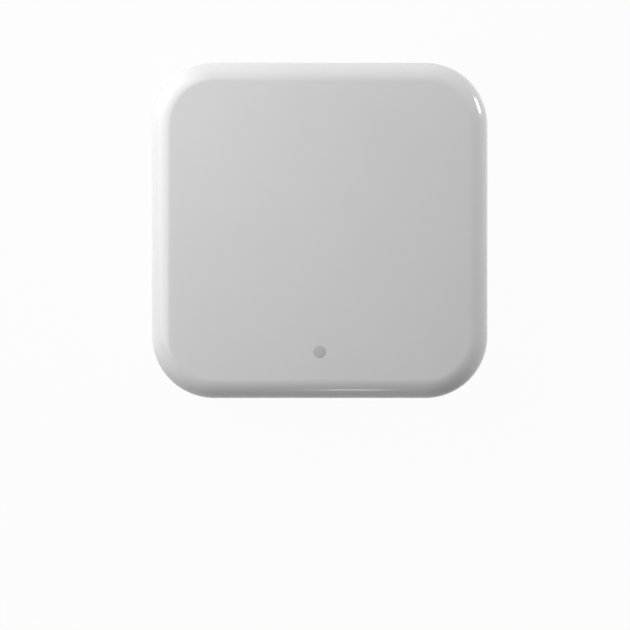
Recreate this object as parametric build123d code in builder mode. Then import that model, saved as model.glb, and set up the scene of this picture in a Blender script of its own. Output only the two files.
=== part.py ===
from build123d import *
import os

# Smart home gateway: a flat square case with a status light on top, a power socket and a reset
# button at the rear, and two radios on one board inside.
# Millimetres, +Z up, status light towards the front (-Y), socket at the rear (+Y).
# The origin is under the middle of the case, on the plane that its feet rest on.

# Case
case_side = 70.0
case_height = 25.0
corner_radius = 13.0
edge_radius = 4.0
wall = 2.0
seam_lift = 1.0
seam_bevel = 0.12
tongue_thickness = 0.9
tongue_height = 2.0
tongue_lead = 0.3
tongue_gap = 0.1
tongue_headroom = 0.2
rib_thickness = 1.2
rib_headroom = 5.0
rib_root = 0.3
floor_rib_height = 1.5
floor_rib_spacing = 15.0
opening_bevel = 0.2

# Feet
foot_diameter = 10.0
foot_thickness = 1.2
foot_proud = 0.4
foot_gap = 0.1
foot_bevel = 0.3

# Case screws, driven up through the base into the cover's bosses
screw_inset = 11.0
screw_thread = 2.6
screw_length = 10.0
screw_head_diameter = 4.8
screw_head_height = 1.8
screw_head_gap = 0.4
screw_clearance = 0.4
thread_fit = 0.05
drive_span_share = 0.5
drive_slot_share = 0.3
drive_depth_share = 0.6
bore_spare = 1.0
meeting_lift = 1.0
boss_diameter = 5.6
base_post_diameter = 7.0
head_clearance = 0.2

# Board and the screws that hold it up against the cover's posts
board_thickness = 1.6
board_drop = 1.0
board_clearance = 2.5
board_corner_radius = 8.5
board_tab_width = 16.0
board_tab_gap = 0.4
boss_hole_gap = 0.3
slide_in = 1.8
board_post_x = 9.5
board_post_inset = 4.5
board_post_diameter = 5.0
board_screw_thread = 2.0
board_screw_length = 6.0
board_screw_head_diameter = 3.8
board_screw_head_height = 1.3
board_screw_play = 0.4

# Power socket
socket_width = 8.94
socket_height = 3.26
socket_length = 7.35
socket_wall = 0.3
socket_recess = 0.4
socket_window_gap = 0.25
socket_fit = 0.02
socket_leg_width = 1.1
socket_leg_setback = 3.4
socket_leg_spacing = 3.2
socket_leg_gap = 0.2
tongue_width = 6.69
tongue_reach = 4.45
tongue_depth = 0.7
tongue_rounding = 0.17
tongue_setback = 0.6
contact_count = 6
contact_pitch = 1.0
contact_stagger = 0.25
contact_width = 0.3
contact_thickness = 0.15
contact_foot = 0.9
contact_row_gap = 0.6
contact_drop = 0.6
pin_reach = 0.6

# Reset button and the switch behind it
reset_x = 16.0
reset_travel = 0.3
reset_diameter = 4.0
reset_gap = 0.15
reset_recess = 0.3
reset_dish = 0.2
reset_bevel = 0.2
reset_flange_diameter = 6.0
reset_flange_thickness = 0.8
reset_flange_gap = 0.05
reset_stub_diameter = 2.5
switch_width = 6.0
switch_depth = 3.2
switch_height = 3.5
switch_setback = 0.5
switch_plate = 0.3
switch_stem_width = 2.6
switch_stem_height = 1.4
switch_stem_reach = 1.0
switch_stem_gap = 0.15
switch_head_width = 4.0
switch_head_height = 2.2
switch_head_thickness = 0.6
switch_head_gap = 0.05
switch_spare = 0.2
switch_bevel = 0.3
switch_wing = 1.4
switch_pin_spacing = 4.5
switch_pin_inset = 1.0
switch_pin_diameter = 0.7
pin_hole_gap = 0.15

# Status light
light_inset = 9.6
light_diameter = 2.5
light_fit = 0.05
light_shoulder = 0.55
light_lead = 0.3
light_lens_gap = 0.3
collar_wall = 1.2
seal_height = 3.5
seal_wall = 1.2
seal_diameter = 7.4
led_length = 3.5
led_width = 2.8
led_height = 1.9
led_cup_diameter = 2.4
led_cup_floor = 1.8
led_cup_depth = 1.1
led_lead_width = 1.7
led_lead_reach = 0.3
led_lead_foot = 0.2

# Radio modules
radio_shift = -4.0
radio_margin = 1.0
radio_board_thickness = 0.8
radio_can_wall = 0.2
radio_can_rounding = 0.5
radio_pad_diameter = 0.8
radio_pad_pitch = 1.27
antenna_line = 0.5
antenna_pitch = 1.1
antenna_thickness = 0.1
network_length = 25.5
network_width = 18.0
network_can_height = 2.3
network_antenna_bars = 5
short_range_length = 16.0
short_range_width = 12.0
short_range_can_height = 1.8
short_range_antenna_bars = 4

# Power parts and small parts on the board
capacitor_diameter = 6.3
capacitor_height = 5.4
capacitor_base = 6.6
capacitor_base_height = 0.6
capacitor_base_corner = 1.2
capacitor_groove = 0.25
capacitor_groove_height = 0.5
capacitor_groove_lift = 1.0
capacitor_inset = 10.0
capacitor_pitch = 8.0
power_row = 14.0
regulator_length = 6.5
regulator_width = 3.5
regulator_height = 1.6
regulator_gap = 5.2
regulator_pitch = 2.3
regulator_lead = 0.7
regulator_tab = 3.0
diode_length = 4.3
diode_width = 2.6
diode_height = 2.2
diode_gap = 2.65
diode_lead = 1.4
epoxy_lift = 0.1
epoxy_bevel = 0.2
lead_thickness = 0.2
lead_reach = 0.6
lead_foot = 0.3
fuse_length = 4.5
fuse_width = 3.2
fuse_height = 1.0
fuse_row = 8.5
fuse_bevel = 0.2
chip_length = 1.6
chip_width = 0.8
chip_capacitor_height = 0.8
chip_resistor_height = 0.5
chip_pitch_x = 4.0
chip_pitch_y = 2.4
chip_block_pitch = 9.5
chip_block_shift = 1.25

# Levels and faces that follow from the sizes above
case_bottom = foot_proud
case_top = case_bottom + case_height
floor_level = case_bottom + wall
roof_level = case_top - wall
seam_level = case_bottom + edge_radius + seam_lift
meeting_level = seam_level + meeting_lift
board_level = meeting_level + board_drop
board_top = board_level + board_thickness
inner_side = case_side - 2 * wall
inner_radius = corner_radius - wall
inner_bevel = (edge_radius - wall) * (2 - 2**0.5)
inner_face = inner_side / 2
skin_inset = wall - tongue_thickness - tongue_gap
board_side = inner_side - 2 * board_clearance
board_edge = board_side / 2
rib_level = board_top + rib_headroom

# Screw places and lengths
screw_spacing = case_side - 2 * screw_inset
screw_seat = foot_thickness + screw_head_gap + screw_head_height
boss_bore_end = screw_seat + screw_length + bore_spare
boss_hole_diameter = boss_diameter + 2 * boss_hole_gap
board_post_y = board_edge - board_post_inset
board_bore_end = board_level + board_screw_length + bore_spare
pin_end = board_level - pin_reach

# Socket places
socket_mouth = case_side / 2 - socket_recess
socket_level = board_top + socket_height / 2
socket_back = socket_mouth - socket_length
core_width = socket_width - 2 * socket_wall - 2 * socket_fit
core_height = socket_height - 2 * socket_wall - 2 * socket_fit
core_front = socket_mouth - tongue_setback - tongue_reach
socket_leg_rows = (socket_mouth - socket_leg_setback, socket_mouth - socket_leg_setback - socket_leg_spacing)

# Reset button and switch places
reset_level = board_top + switch_height / 2
reset_face = case_side / 2 - reset_recess
flange_face = inner_face - reset_flange_gap
switch_front = board_edge - switch_setback
switch_body_front = switch_front - switch_plate
switch_back = switch_body_front - switch_depth
switch_stem_tip = switch_front + switch_stem_reach
switch_head_front = switch_body_front - switch_head_gap
switch_room = switch_head_gap + switch_head_thickness + reset_travel + switch_spare
switch_side = switch_width / 2 + switch_plate / 2
switch_wing_y = switch_front - switch_wing / 2
switch_pin_y = switch_back + switch_pin_inset

# Status light places
light_y = light_inset - case_side / 2
pipe_diameter = light_diameter + 2 * light_shoulder
pipe_end = board_top + led_height + light_lens_gap
collar_bore = pipe_diameter + 2 * light_fit
collar_diameter = collar_bore + 2 * collar_wall
collar_end = board_top + seal_height

# Places along the power row, from the left: capacitors, surge diode, regulator
power_row_y = board_edge - power_row
first_capacitor_x = capacitor_inset - board_edge
capacitors_end = first_capacitor_x + capacitor_pitch + capacitor_base / 2
lead_span = lead_reach + lead_foot
diode_x = capacitors_end + diode_gap + lead_span + diode_length / 2
regulator_x = diode_x + diode_length / 2 + lead_span + regulator_gap + regulator_length / 2

# Places of the chip blocks, midway between the radios
chip_x = (network_length - short_range_length) / 2
chip_capacitor_row = radio_shift + chip_block_shift + chip_block_pitch / 2
chip_resistor_row = radio_shift + chip_block_shift - chip_block_pitch / 2

os.makedirs("parts", exist_ok=True)


# Cover: the visible shell, with the bosses, posts, ribs and light collar moulded under its roof
with BuildPart() as top_cover:
    with BuildSketch(Plane.XY.offset(seam_level)):
        RectangleRounded(case_side, case_side, corner_radius)
    extrude(amount=case_top - seam_level)
    fillet(top_cover.edges().group_by(Axis.Z)[-1], radius=edge_radius)
    chamfer(top_cover.edges().group_by(Axis.Z)[0], length=seam_bevel)

    # Room inside, bevelled where the walls meet the roof
    with BuildSketch(Plane.XY.offset(seam_level)):
        RectangleRounded(inner_side, inner_side, inner_radius)
    extrude(amount=roof_level - seam_level, mode=Mode.SUBTRACT)
    roof = top_cover.faces().filter_by(Plane.XY).sort_by(Axis.Z)[-2]
    chamfer(roof.edges(), length=inner_bevel)

    # Rebate that takes the base's tongue
    with BuildSketch(Plane.XY.offset(seam_level)):
        RectangleRounded(case_side - 2 * skin_inset, case_side - 2 * skin_inset, corner_radius - skin_inset)
    extrude(amount=tongue_height + tongue_headroom, mode=Mode.SUBTRACT)

    # Screw bosses, with a rib to each wall beside them
    with BuildSketch(Plane.XY.offset(meeting_level)):
        with GridLocations(screw_spacing, screw_spacing, 2, 2):
            Circle(boss_diameter / 2)
    extrude(amount=roof_level - meeting_level)
    corner_rib = inner_face + rib_root - screw_spacing / 2
    with BuildSketch(Plane.XY.offset(rib_level)):
        with PolarLocations(screw_spacing / 2 * 2**0.5, 4, start_angle=45):
            Rectangle(corner_rib, rib_thickness, rotation=45, align=(Align.MIN, Align.CENTER))
            Rectangle(corner_rib, rib_thickness, rotation=-45, align=(Align.MIN, Align.CENTER))
    extrude(amount=roof_level - rib_level)

    # Posts that the board is screwed against, each with a rib to its wall
    with BuildSketch(Plane.XY.offset(board_top)):
        with GridLocations(2 * board_post_x, 2 * board_post_y, 2, 2):
            Circle(board_post_diameter / 2)
    extrude(amount=roof_level - board_top)
    post_rib = inner_face + rib_root - board_post_y
    with BuildSketch(Plane.XY.offset(rib_level)):
        with GridLocations(2 * board_post_x, 2 * board_post_y + post_rib, 2, 2):
            Rectangle(rib_thickness, post_rib)
    extrude(amount=roof_level - rib_level)

    # Collar that carries the light pipe, and the hole that shows it
    with BuildSketch(Plane.XY.offset(collar_end)):
        with Locations((0, light_y)):
            Circle(collar_diameter / 2)
    extrude(amount=roof_level - collar_end)
    with BuildSketch(Plane.XY.offset(collar_end)):
        with Locations((0, light_y)):
            Circle(collar_bore / 2)
    extrude(amount=roof_level - collar_end, mode=Mode.SUBTRACT)
    with Locations((0, light_y, case_top)):
        Hole(radius=light_diameter / 2 + light_fit, depth=2 * wall)

    # Screw bores
    with Locations(Plane((0, 0, meeting_level), x_dir=(1, 0, 0), z_dir=(0, 0, -1))):
        with GridLocations(screw_spacing, screw_spacing, 2, 2):
            Hole(radius=screw_thread / 2 + thread_fit, depth=boss_bore_end - meeting_level)
    with Locations(Plane((0, 0, board_top), x_dir=(1, 0, 0), z_dir=(0, 0, -1))):
        with GridLocations(2 * board_post_x, 2 * board_post_y, 2, 2):
            Hole(radius=board_screw_thread / 2 + thread_fit, depth=board_bore_end - board_top)

    # Window for the socket and hole for the reset button, through the rear wall
    with BuildSketch(Plane.XZ.offset(-case_side / 2)):
        with Locations((0, socket_level)):
            SlotOverall(socket_width + 2 * socket_window_gap, socket_height + 2 * socket_window_gap)
        with Locations((reset_x, reset_level)):
            Circle(reset_diameter / 2 + reset_gap)
    extrude(amount=wall, mode=Mode.SUBTRACT)
    rear_face = top_cover.faces().filter_by(Plane.XZ).sort_by(Axis.Y)[-1]
    chamfer(rear_face.inner_wires().edges(), length=opening_bevel)

top_cover.part.label = "top_cover"
export_step(top_cover.part, "parts/top_cover.step")


# Base: a shallow tray with a tongue round its rim and a counterbored post for each case screw
with BuildPart() as base_plate:
    with BuildSketch(Plane.XY.offset(case_bottom)):
        RectangleRounded(case_side, case_side, corner_radius)
    extrude(amount=seam_level - case_bottom)
    fillet(base_plate.edges().group_by(Axis.Z)[0], radius=edge_radius)
    chamfer(base_plate.edges().group_by(Axis.Z)[-1], length=seam_bevel)

    # Tongue that centres the cover
    tongue_outer = case_side - 2 * (wall - tongue_thickness)
    with BuildSketch(Plane.XY.offset(seam_level)):
        RectangleRounded(tongue_outer, tongue_outer, corner_radius - wall + tongue_thickness)
    extrude(amount=tongue_height)
    chamfer(base_plate.edges().group_by(Axis.Z)[-1], length=tongue_lead)

    # Room inside, bevelled where the walls meet the floor
    with BuildSketch(Plane.XY.offset(floor_level)):
        RectangleRounded(inner_side, inner_side, inner_radius)
    extrude(amount=seam_level + tongue_height - floor_level, mode=Mode.SUBTRACT)
    floor = base_plate.faces().filter_by(Plane.XY).sort_by(Axis.Z)[1]
    chamfer(floor.edges(), length=inner_bevel)

    # Posts under the cover's bosses, and ribs that stiffen the floor
    with BuildSketch(Plane.XY.offset(floor_level)):
        with GridLocations(screw_spacing, screw_spacing, 2, 2):
            Circle(base_post_diameter / 2)
    extrude(amount=meeting_level - floor_level)
    with BuildSketch(Plane.XY.offset(floor_level)):
        with GridLocations(0, floor_rib_spacing, 1, 3):
            Rectangle(inner_side + 2 * rib_root, rib_thickness)
        with GridLocations(floor_rib_spacing, 0, 3, 1):
            Rectangle(rib_thickness, inner_side + 2 * rib_root)
    extrude(amount=floor_rib_height)

    # Recesses for the feet and stepped holes for the screws
    with BuildSketch(Plane.XY.offset(case_bottom)):
        with GridLocations(screw_spacing, screw_spacing, 2, 2):
            Circle(foot_diameter / 2 + foot_gap)
    extrude(amount=foot_thickness - foot_proud, mode=Mode.SUBTRACT)
    with Locations(Plane((0, 0, foot_thickness), x_dir=(1, 0, 0), z_dir=(0, 0, -1))):
        with GridLocations(screw_spacing, screw_spacing, 2, 2):
            CounterBoreHole(
                radius=(screw_thread + screw_clearance) / 2,
                counter_bore_radius=screw_head_diameter / 2 + head_clearance,
                counter_bore_depth=screw_seat - foot_thickness,
                depth=meeting_level - foot_thickness,
            )

base_plate.part.label = "base_plate"
export_step(base_plate.part, "parts/base_plate.step")


# Rubber feet: one pad over each case screw
foot_places = {
    "front_left": (-1, -1),
    "front_right": (1, -1),
    "rear_left": (-1, 1),
    "rear_right": (1, 1),
}
for corner, (side_x, side_y) in foot_places.items():
    with BuildPart() as rubber_foot:
        with BuildSketch():
            with Locations((side_x * screw_spacing / 2, side_y * screw_spacing / 2)):
                Circle(foot_diameter / 2)
        extrude(amount=foot_thickness)
        chamfer(rubber_foot.edges().group_by(Axis.Z)[0], length=foot_bevel)
    rubber_foot.part.label = f"rubber_foot_{corner}"
    export_step(rubber_foot.part, f"parts/rubber_foot_{corner}.step")


def pan_head_screw(thread, length, head_diameter, head_height):
    """One pan head screw that points up, with its head's bearing face at the origin."""
    with BuildPart() as screw:
        with BuildSketch(Plane.XZ):
            with BuildLine():
                crown = head_height / 3
                tip = thread / 4
                Polyline(
                    (0, -head_height),
                    (head_diameter / 2 - crown, -head_height),
                    (head_diameter / 2, crown - head_height),
                    (head_diameter / 2, 0),
                    (thread / 2, 0),
                    (thread / 2, length - tip),
                    (thread / 2 - tip, length),
                    (0, length),
                    (0, -head_height),
                )
            make_face()
        revolve(axis=Axis.Z)
        with BuildSketch(Plane.XY.offset(-head_height)):
            Rectangle(head_diameter * drive_span_share, head_height * drive_slot_share)
            Rectangle(head_height * drive_slot_share, head_diameter * drive_span_share)
        extrude(amount=head_height * drive_depth_share, mode=Mode.SUBTRACT)
    return screw.part


# Case screws
case_screw = pan_head_screw(screw_thread, screw_length, screw_head_diameter, screw_head_height)
with BuildPart() as case_screws:
    with Locations((0, 0, screw_seat)):
        with GridLocations(screw_spacing, screw_spacing, 2, 2):
            add(case_screw)

case_screws.part.label = "case_screws"
export_step(case_screws.part, "parts/case_screws.step")


# Board screws
board_screw = pan_head_screw(
    board_screw_thread, board_screw_length, board_screw_head_diameter, board_screw_head_height
)
with BuildPart() as board_screws:
    with Locations((0, 0, board_level)):
        with GridLocations(2 * board_post_x, 2 * board_post_y, 2, 2):
            add(board_screw)

board_screws.part.label = "board_screws"
export_step(board_screws.part, "parts/board_screws.step")


# Main board, slid towards the rear over the bosses so that the socket enters its window
with BuildPart() as main_board:
    with BuildSketch(Plane.XY.offset(board_level)):
        RectangleRounded(board_side, board_side, board_corner_radius)
        Rectangle(board_tab_width, inner_face - board_tab_gap, align=(Align.CENTER, Align.MIN))
        with Locations((0, slide_in / 2)):
            with GridLocations(screw_spacing, screw_spacing, 2, 2):
                SlotOverall(
                    boss_hole_diameter + slide_in,
                    boss_hole_diameter,
                    rotation=90,
                    mode=Mode.SUBTRACT,
                )
        with GridLocations(2 * board_post_x, 2 * board_post_y, 2, 2):
            Circle((board_screw_thread + board_screw_play) / 2, mode=Mode.SUBTRACT)
        with Locations(*[(0, row) for row in socket_leg_rows]):
            with GridLocations(socket_width - socket_wall, 0, 2, 1):
                Rectangle(
                    socket_wall + 2 * socket_leg_gap,
                    socket_leg_width + 2 * socket_leg_gap,
                    mode=Mode.SUBTRACT,
                )
        with Locations((reset_x, switch_wing_y)):
            with GridLocations(2 * switch_side, 0, 2, 1):
                Rectangle(
                    switch_plate + 2 * pin_hole_gap,
                    switch_wing + 2 * pin_hole_gap,
                    mode=Mode.SUBTRACT,
                )
        with Locations((reset_x, switch_pin_y)):
            with GridLocations(switch_pin_spacing, 0, 2, 1):
                Circle(switch_pin_diameter / 2 + pin_hole_gap, mode=Mode.SUBTRACT)
    extrude(amount=board_thickness)

main_board.part.label = "main_board"
export_step(main_board.part, "parts/main_board.step")


# Power socket shell: a drawn steel sleeve with four legs through the board
with BuildPart() as power_socket_shell:
    with BuildSketch(Plane.XZ.offset(-socket_mouth)):
        with Locations((0, socket_level)):
            SlotOverall(socket_width, socket_height)
            SlotOverall(socket_width - 2 * socket_wall, socket_height - 2 * socket_wall, mode=Mode.SUBTRACT)
    extrude(amount=socket_length)
    with BuildSketch(Plane.XY.offset(pin_end)):
        with Locations(*[(0, row) for row in socket_leg_rows]):
            with GridLocations(socket_width - socket_wall, 0, 2, 1):
                Rectangle(socket_wall, socket_leg_width)
    extrude(amount=socket_level - pin_end)

power_socket_shell.part.label = "power_socket_shell"
export_step(power_socket_shell.part, "parts/power_socket_shell.step")


# Power socket contacts: strips along both faces of the tongue, bent down to the board behind
with BuildPart() as power_socket_contacts:
    for side in (1, -1):
        strip_level = socket_level + side * (tongue_depth - contact_thickness) / 2
        strip_front = socket_mouth - tongue_setback - contact_foot
        foot_level = board_top + contact_thickness / 2
        drop_y = socket_back - contact_drop - side * contact_row_gap / 2
        first_x = side * contact_stagger - contact_pitch * (contact_count - 1) / 2
        for strip in range(contact_count):
            strip_face = first_x + strip * contact_pitch - contact_width / 2
            with BuildSketch(Plane.YZ.offset(strip_face)):
                with BuildLine():
                    Polyline(
                        (strip_front, strip_level + contact_thickness / 2),
                        (drop_y - contact_thickness / 2, strip_level + contact_thickness / 2),
                        (drop_y - contact_thickness / 2, foot_level + contact_thickness / 2),
                        (drop_y - contact_foot, foot_level + contact_thickness / 2),
                        (drop_y - contact_foot, foot_level - contact_thickness / 2),
                        (drop_y + contact_thickness / 2, foot_level - contact_thickness / 2),
                        (drop_y + contact_thickness / 2, strip_level - contact_thickness / 2),
                        (strip_front, strip_level - contact_thickness / 2),
                        close=True,
                    )
                make_face()
            extrude(amount=contact_width)

power_socket_contacts.part.label = "power_socket_contacts"
export_step(power_socket_contacts.part, "parts/power_socket_contacts.step")


# Power socket core: the insulator block and the tongue, moulded round the contacts
with BuildPart() as power_socket_core:
    with BuildSketch(Plane.XZ.offset(-core_front)):
        with Locations((0, socket_level)):
            SlotOverall(core_width, core_height)
    extrude(amount=core_front - socket_back)
    with BuildSketch(Plane.XZ.offset(-core_front - tongue_reach)):
        with Locations((0, socket_level)):
            RectangleRounded(tongue_width, tongue_depth, tongue_rounding)
    extrude(amount=tongue_reach)
    add(power_socket_contacts.part, mode=Mode.SUBTRACT)

power_socket_core.part.label = "power_socket_core"
export_step(power_socket_core.part, "parts/power_socket_core.step")


# Reset button: a dished cap held in the rear wall by its flange, with a stub to the switch
with BuildPart() as reset_button:
    with BuildSketch(Plane.XY.offset(reset_level)):
        with BuildLine():
            Polyline(
                (reset_x, reset_face),
                (reset_x, switch_stem_tip),
                (reset_x + reset_stub_diameter / 2, switch_stem_tip),
                (reset_x + reset_stub_diameter / 2, flange_face - reset_flange_thickness),
                (reset_x + reset_flange_diameter / 2, flange_face - reset_flange_thickness),
                (reset_x + reset_flange_diameter / 2, flange_face),
                (reset_x + reset_diameter / 2, flange_face),
                (reset_x + reset_diameter / 2, reset_face - reset_bevel),
                (reset_x + reset_diameter / 2 - reset_bevel, reset_face),
                close=True,
            )
        make_face()
    revolve(axis=Axis((reset_x, 0, reset_level), (0, 1, 0)))

    # Shallow dish in the face, for a fingertip
    dish_edge = reset_diameter / 2 - 2 * reset_bevel
    dish_radius = (dish_edge**2 + reset_dish**2) / (2 * reset_dish)
    with Locations((reset_x, reset_face + dish_radius - reset_dish, reset_level)):
        Sphere(dish_radius, mode=Mode.SUBTRACT)

reset_button.part.label = "reset_button"
export_step(reset_button.part, "parts/reset_button.step")


# Reset switch housing: a block on the board, open at the front where the slider's head moves
with BuildPart() as reset_switch_housing:
    with BuildSketch(Plane.XZ.offset(-switch_body_front)):
        with Locations((reset_x, reset_level)):
            Rectangle(switch_width, switch_height)
    extrude(amount=switch_depth)
    with BuildSketch(Plane.XZ.offset(-switch_body_front)):
        with Locations((reset_x, reset_level)):
            Rectangle(switch_head_width + 2 * switch_stem_gap, switch_head_height + 2 * switch_stem_gap)
    extrude(amount=switch_room, mode=Mode.SUBTRACT)
    chamfer(reset_switch_housing.faces().sort_by(Axis.Y)[0].edges(), length=switch_bevel)

reset_switch_housing.part.label = "reset_switch_housing"
export_step(reset_switch_housing.part, "parts/reset_switch_housing.step")


# Reset switch frame: the steel plate that closes the housing, with wings that clip it to the board
with BuildPart() as reset_switch_frame:
    with BuildSketch(Plane.XZ.offset(-switch_front)):
        with Locations((reset_x, reset_level)):
            Rectangle(switch_width + 2 * switch_plate, switch_height)
            Rectangle(
                switch_stem_width + 2 * switch_stem_gap,
                switch_stem_height + 2 * switch_stem_gap,
                mode=Mode.SUBTRACT,
            )
    extrude(amount=switch_plate)
    with BuildSketch(Plane.XY.offset(pin_end)):
        with Locations((reset_x, switch_wing_y)):
            with GridLocations(2 * switch_side, 0, 2, 1):
                Rectangle(switch_plate, switch_wing)
    extrude(amount=board_top + switch_height - pin_end)

reset_switch_frame.part.label = "reset_switch_frame"
export_step(reset_switch_frame.part, "parts/reset_switch_frame.step")


# Reset switch plunger: the slider between the button's stub and the switch's snap contact
with BuildPart() as reset_switch_plunger:
    with BuildSketch(Plane.XZ.offset(-switch_stem_tip)):
        with Locations((reset_x, reset_level)):
            Rectangle(switch_stem_width, switch_stem_height)
    extrude(amount=switch_stem_tip - switch_head_front)
    with BuildSketch(Plane.XZ.offset(-switch_head_front)):
        with Locations((reset_x, reset_level)):
            Rectangle(switch_head_width, switch_head_height)
    extrude(amount=switch_head_thickness)

reset_switch_plunger.part.label = "reset_switch_plunger"
export_step(reset_switch_plunger.part, "parts/reset_switch_plunger.step")


# Reset switch terminals: two pins down through the board
with BuildPart() as reset_switch_terminals:
    with BuildSketch(Plane.XY.offset(pin_end)):
        with Locations((reset_x, switch_pin_y)):
            with GridLocations(switch_pin_spacing, 0, 2, 1):
                Circle(switch_pin_diameter / 2)
    extrude(amount=board_top - pin_end)

reset_switch_terminals.part.label = "reset_switch_terminals"
export_step(reset_switch_terminals.part, "parts/reset_switch_terminals.step")


# Light pipe: its tip lies flush with the cover and its shoulder bears on the roof from below
with BuildPart() as light_pipe:
    with BuildSketch(Plane.XY.offset(pipe_end)):
        with Locations((0, light_y)):
            Circle(pipe_diameter / 2)
    extrude(amount=roof_level - pipe_end)
    chamfer(light_pipe.edges().group_by(Axis.Z)[0], length=light_lead)
    with BuildSketch(Plane.XY.offset(roof_level)):
        with Locations((0, light_y)):
            Circle(light_diameter / 2)
    extrude(amount=wall)

light_pipe.part.label = "light_pipe"
export_step(light_pipe.part, "parts/light_pipe.step")


# Light seal: a foam ring that keeps the light from leaking under the cover
with BuildPart() as light_seal:
    with BuildSketch(Plane.XY.offset(board_top)):
        with Locations((0, light_y)):
            Circle(seal_diameter / 2)
            Circle(seal_diameter / 2 - seal_wall, mode=Mode.SUBTRACT)
    extrude(amount=seal_height)

light_seal.part.label = "light_seal"
export_step(light_seal.part, "parts/light_seal.step")


def bent_leads(places, width, start_level, reach=lead_reach, foot=lead_foot):
    """Flat leads that leave a part's side, drop to the board and end in a foot.

    Each place is the point where a lead leaves the side, with the turn of its direction from +Y.
    """
    with BuildPart() as lead:
        with BuildSketch(Plane.YZ.offset(-width / 2)):
            with BuildLine():
                Polyline(
                    (0, start_level + lead_thickness / 2),
                    (reach, start_level + lead_thickness / 2),
                    (reach, board_top + lead_thickness),
                    (reach + foot, board_top + lead_thickness),
                    (reach + foot, board_top),
                    (reach - lead_thickness, board_top),
                    (reach - lead_thickness, start_level - lead_thickness / 2),
                    (0, start_level - lead_thickness / 2),
                    close=True,
                )
            make_face()
        extrude(amount=width)
    with BuildPart() as leads:
        for x, y, turn in places:
            with Locations(Location((x, y, 0), (0, 0, turn))):
                add(lead.part)
    return leads.part


# Indicator lamp: a reflector cup with a clear lens, under the light pipe
with BuildPart() as indicator_led_body:
    with BuildSketch(Plane.XY.offset(board_top)):
        with Locations((0, light_y)):
            Rectangle(led_width, led_length)
    extrude(amount=led_height)
    with BuildSketch(Plane.XY.offset(board_top + led_height)):
        with Locations((0, light_y)):
            Circle(led_cup_diameter / 2)
    with BuildSketch(Plane.XY.offset(board_top + led_height - led_cup_depth)):
        with Locations((0, light_y)):
            Circle(led_cup_floor / 2)
    loft(mode=Mode.SUBTRACT)

indicator_led_body.part.label = "indicator_led_body"
export_step(indicator_led_body.part, "parts/indicator_led_body.step")

with BuildPart() as indicator_led_lens:
    with BuildSketch(Plane.XY.offset(board_top + led_height)):
        with Locations((0, light_y)):
            Circle(led_cup_diameter / 2)
    with BuildSketch(Plane.XY.offset(board_top + led_height - led_cup_depth)):
        with Locations((0, light_y)):
            Circle(led_cup_floor / 2)
    loft()

indicator_led_lens.part.label = "indicator_led_lens"
export_step(indicator_led_lens.part, "parts/indicator_led_lens.step")

indicator_led_leads = bent_leads(
    [(0, light_y + led_length / 2, 0), (0, light_y - led_length / 2, 180)],
    led_lead_width,
    board_top + led_height / 2,
    led_lead_reach,
    led_lead_foot,
)
indicator_led_leads.label = "indicator_led_leads"
export_step(indicator_led_leads, "parts/indicator_led_leads.step")


def radio_module(name, place, length, width, can_height, bars):
    """A radio on its own small board: castellated edges, shield can and printed antenna.

    The module lies on the plane given, centred on its origin, with the antenna at its +X end.
    """
    face = place.offset(radio_board_thickness)
    antenna_length = antenna_pitch * (bars - 1) + antenna_line
    antenna_x = (length - antenna_length) / 2 - radio_margin
    can_length = length - antenna_length - 3 * radio_margin
    can_width = width - 2 * radio_margin
    can_x = (can_length - length) / 2 + radio_margin
    pads = int(can_length / radio_pad_pitch)

    with BuildPart() as radio_board:
        with BuildSketch(place):
            Rectangle(length, width)
            with Locations((can_x, 0)):
                with GridLocations(radio_pad_pitch, width, pads, 2):
                    Circle(radio_pad_diameter / 2, mode=Mode.SUBTRACT)
        extrude(amount=radio_board_thickness)
    radio_board.part.label = f"{name}_board"
    export_step(radio_board.part, f"parts/{name}_board.step")

    with BuildPart() as radio_shield:
        with BuildSketch(face):
            with Locations((can_x, 0)):
                RectangleRounded(can_length, can_width, radio_can_rounding + radio_can_wall)
        extrude(amount=can_height)
        fillet(radio_shield.edges().group_by(Axis.Z)[-1], radius=radio_can_rounding)
        with BuildSketch(face):
            with Locations((can_x, 0)):
                RectangleRounded(
                    can_length - 2 * radio_can_wall, can_width - 2 * radio_can_wall, radio_can_rounding
                )
        extrude(amount=can_height - radio_can_wall, mode=Mode.SUBTRACT)
    radio_shield.part.label = f"{name}_shield"
    export_step(radio_shield.part, f"parts/{name}_shield.step")

    # Bars side by side, joined at alternate ends into one meander, with a feed back to the can
    bar_length = width / 2
    with BuildPart() as radio_antenna:
        with BuildSketch(face):
            with Locations((antenna_x, 0)):
                with GridLocations(antenna_pitch, 0, bars, 1):
                    Rectangle(antenna_line, bar_length)
            for link in range(bars - 1):
                link_x = antenna_x + antenna_pitch * (link + 1 - bars / 2)
                link_y = (bar_length - antenna_line) / 2 * (-1) ** link
                with Locations((link_x, link_y)):
                    Rectangle(antenna_pitch + antenna_line, antenna_line)
        extrude(amount=antenna_thickness)
    radio_antenna.part.label = f"{name}_antenna"
    export_step(radio_antenna.part, f"parts/{name}_antenna.step")


# Network radio at the left, short range radio at the right, antennas at the board's edges
radio_module(
    "network_radio",
    Plane((radio_margin + network_length / 2 - board_edge, radio_shift, board_top), x_dir=(-1, 0, 0)),
    network_length,
    network_width,
    network_can_height,
    network_antenna_bars,
)
radio_module(
    "short_range_radio",
    Plane((board_edge - radio_margin - short_range_length / 2, radio_shift, board_top)),
    short_range_length,
    short_range_width,
    short_range_can_height,
    short_range_antenna_bars,
)


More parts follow.
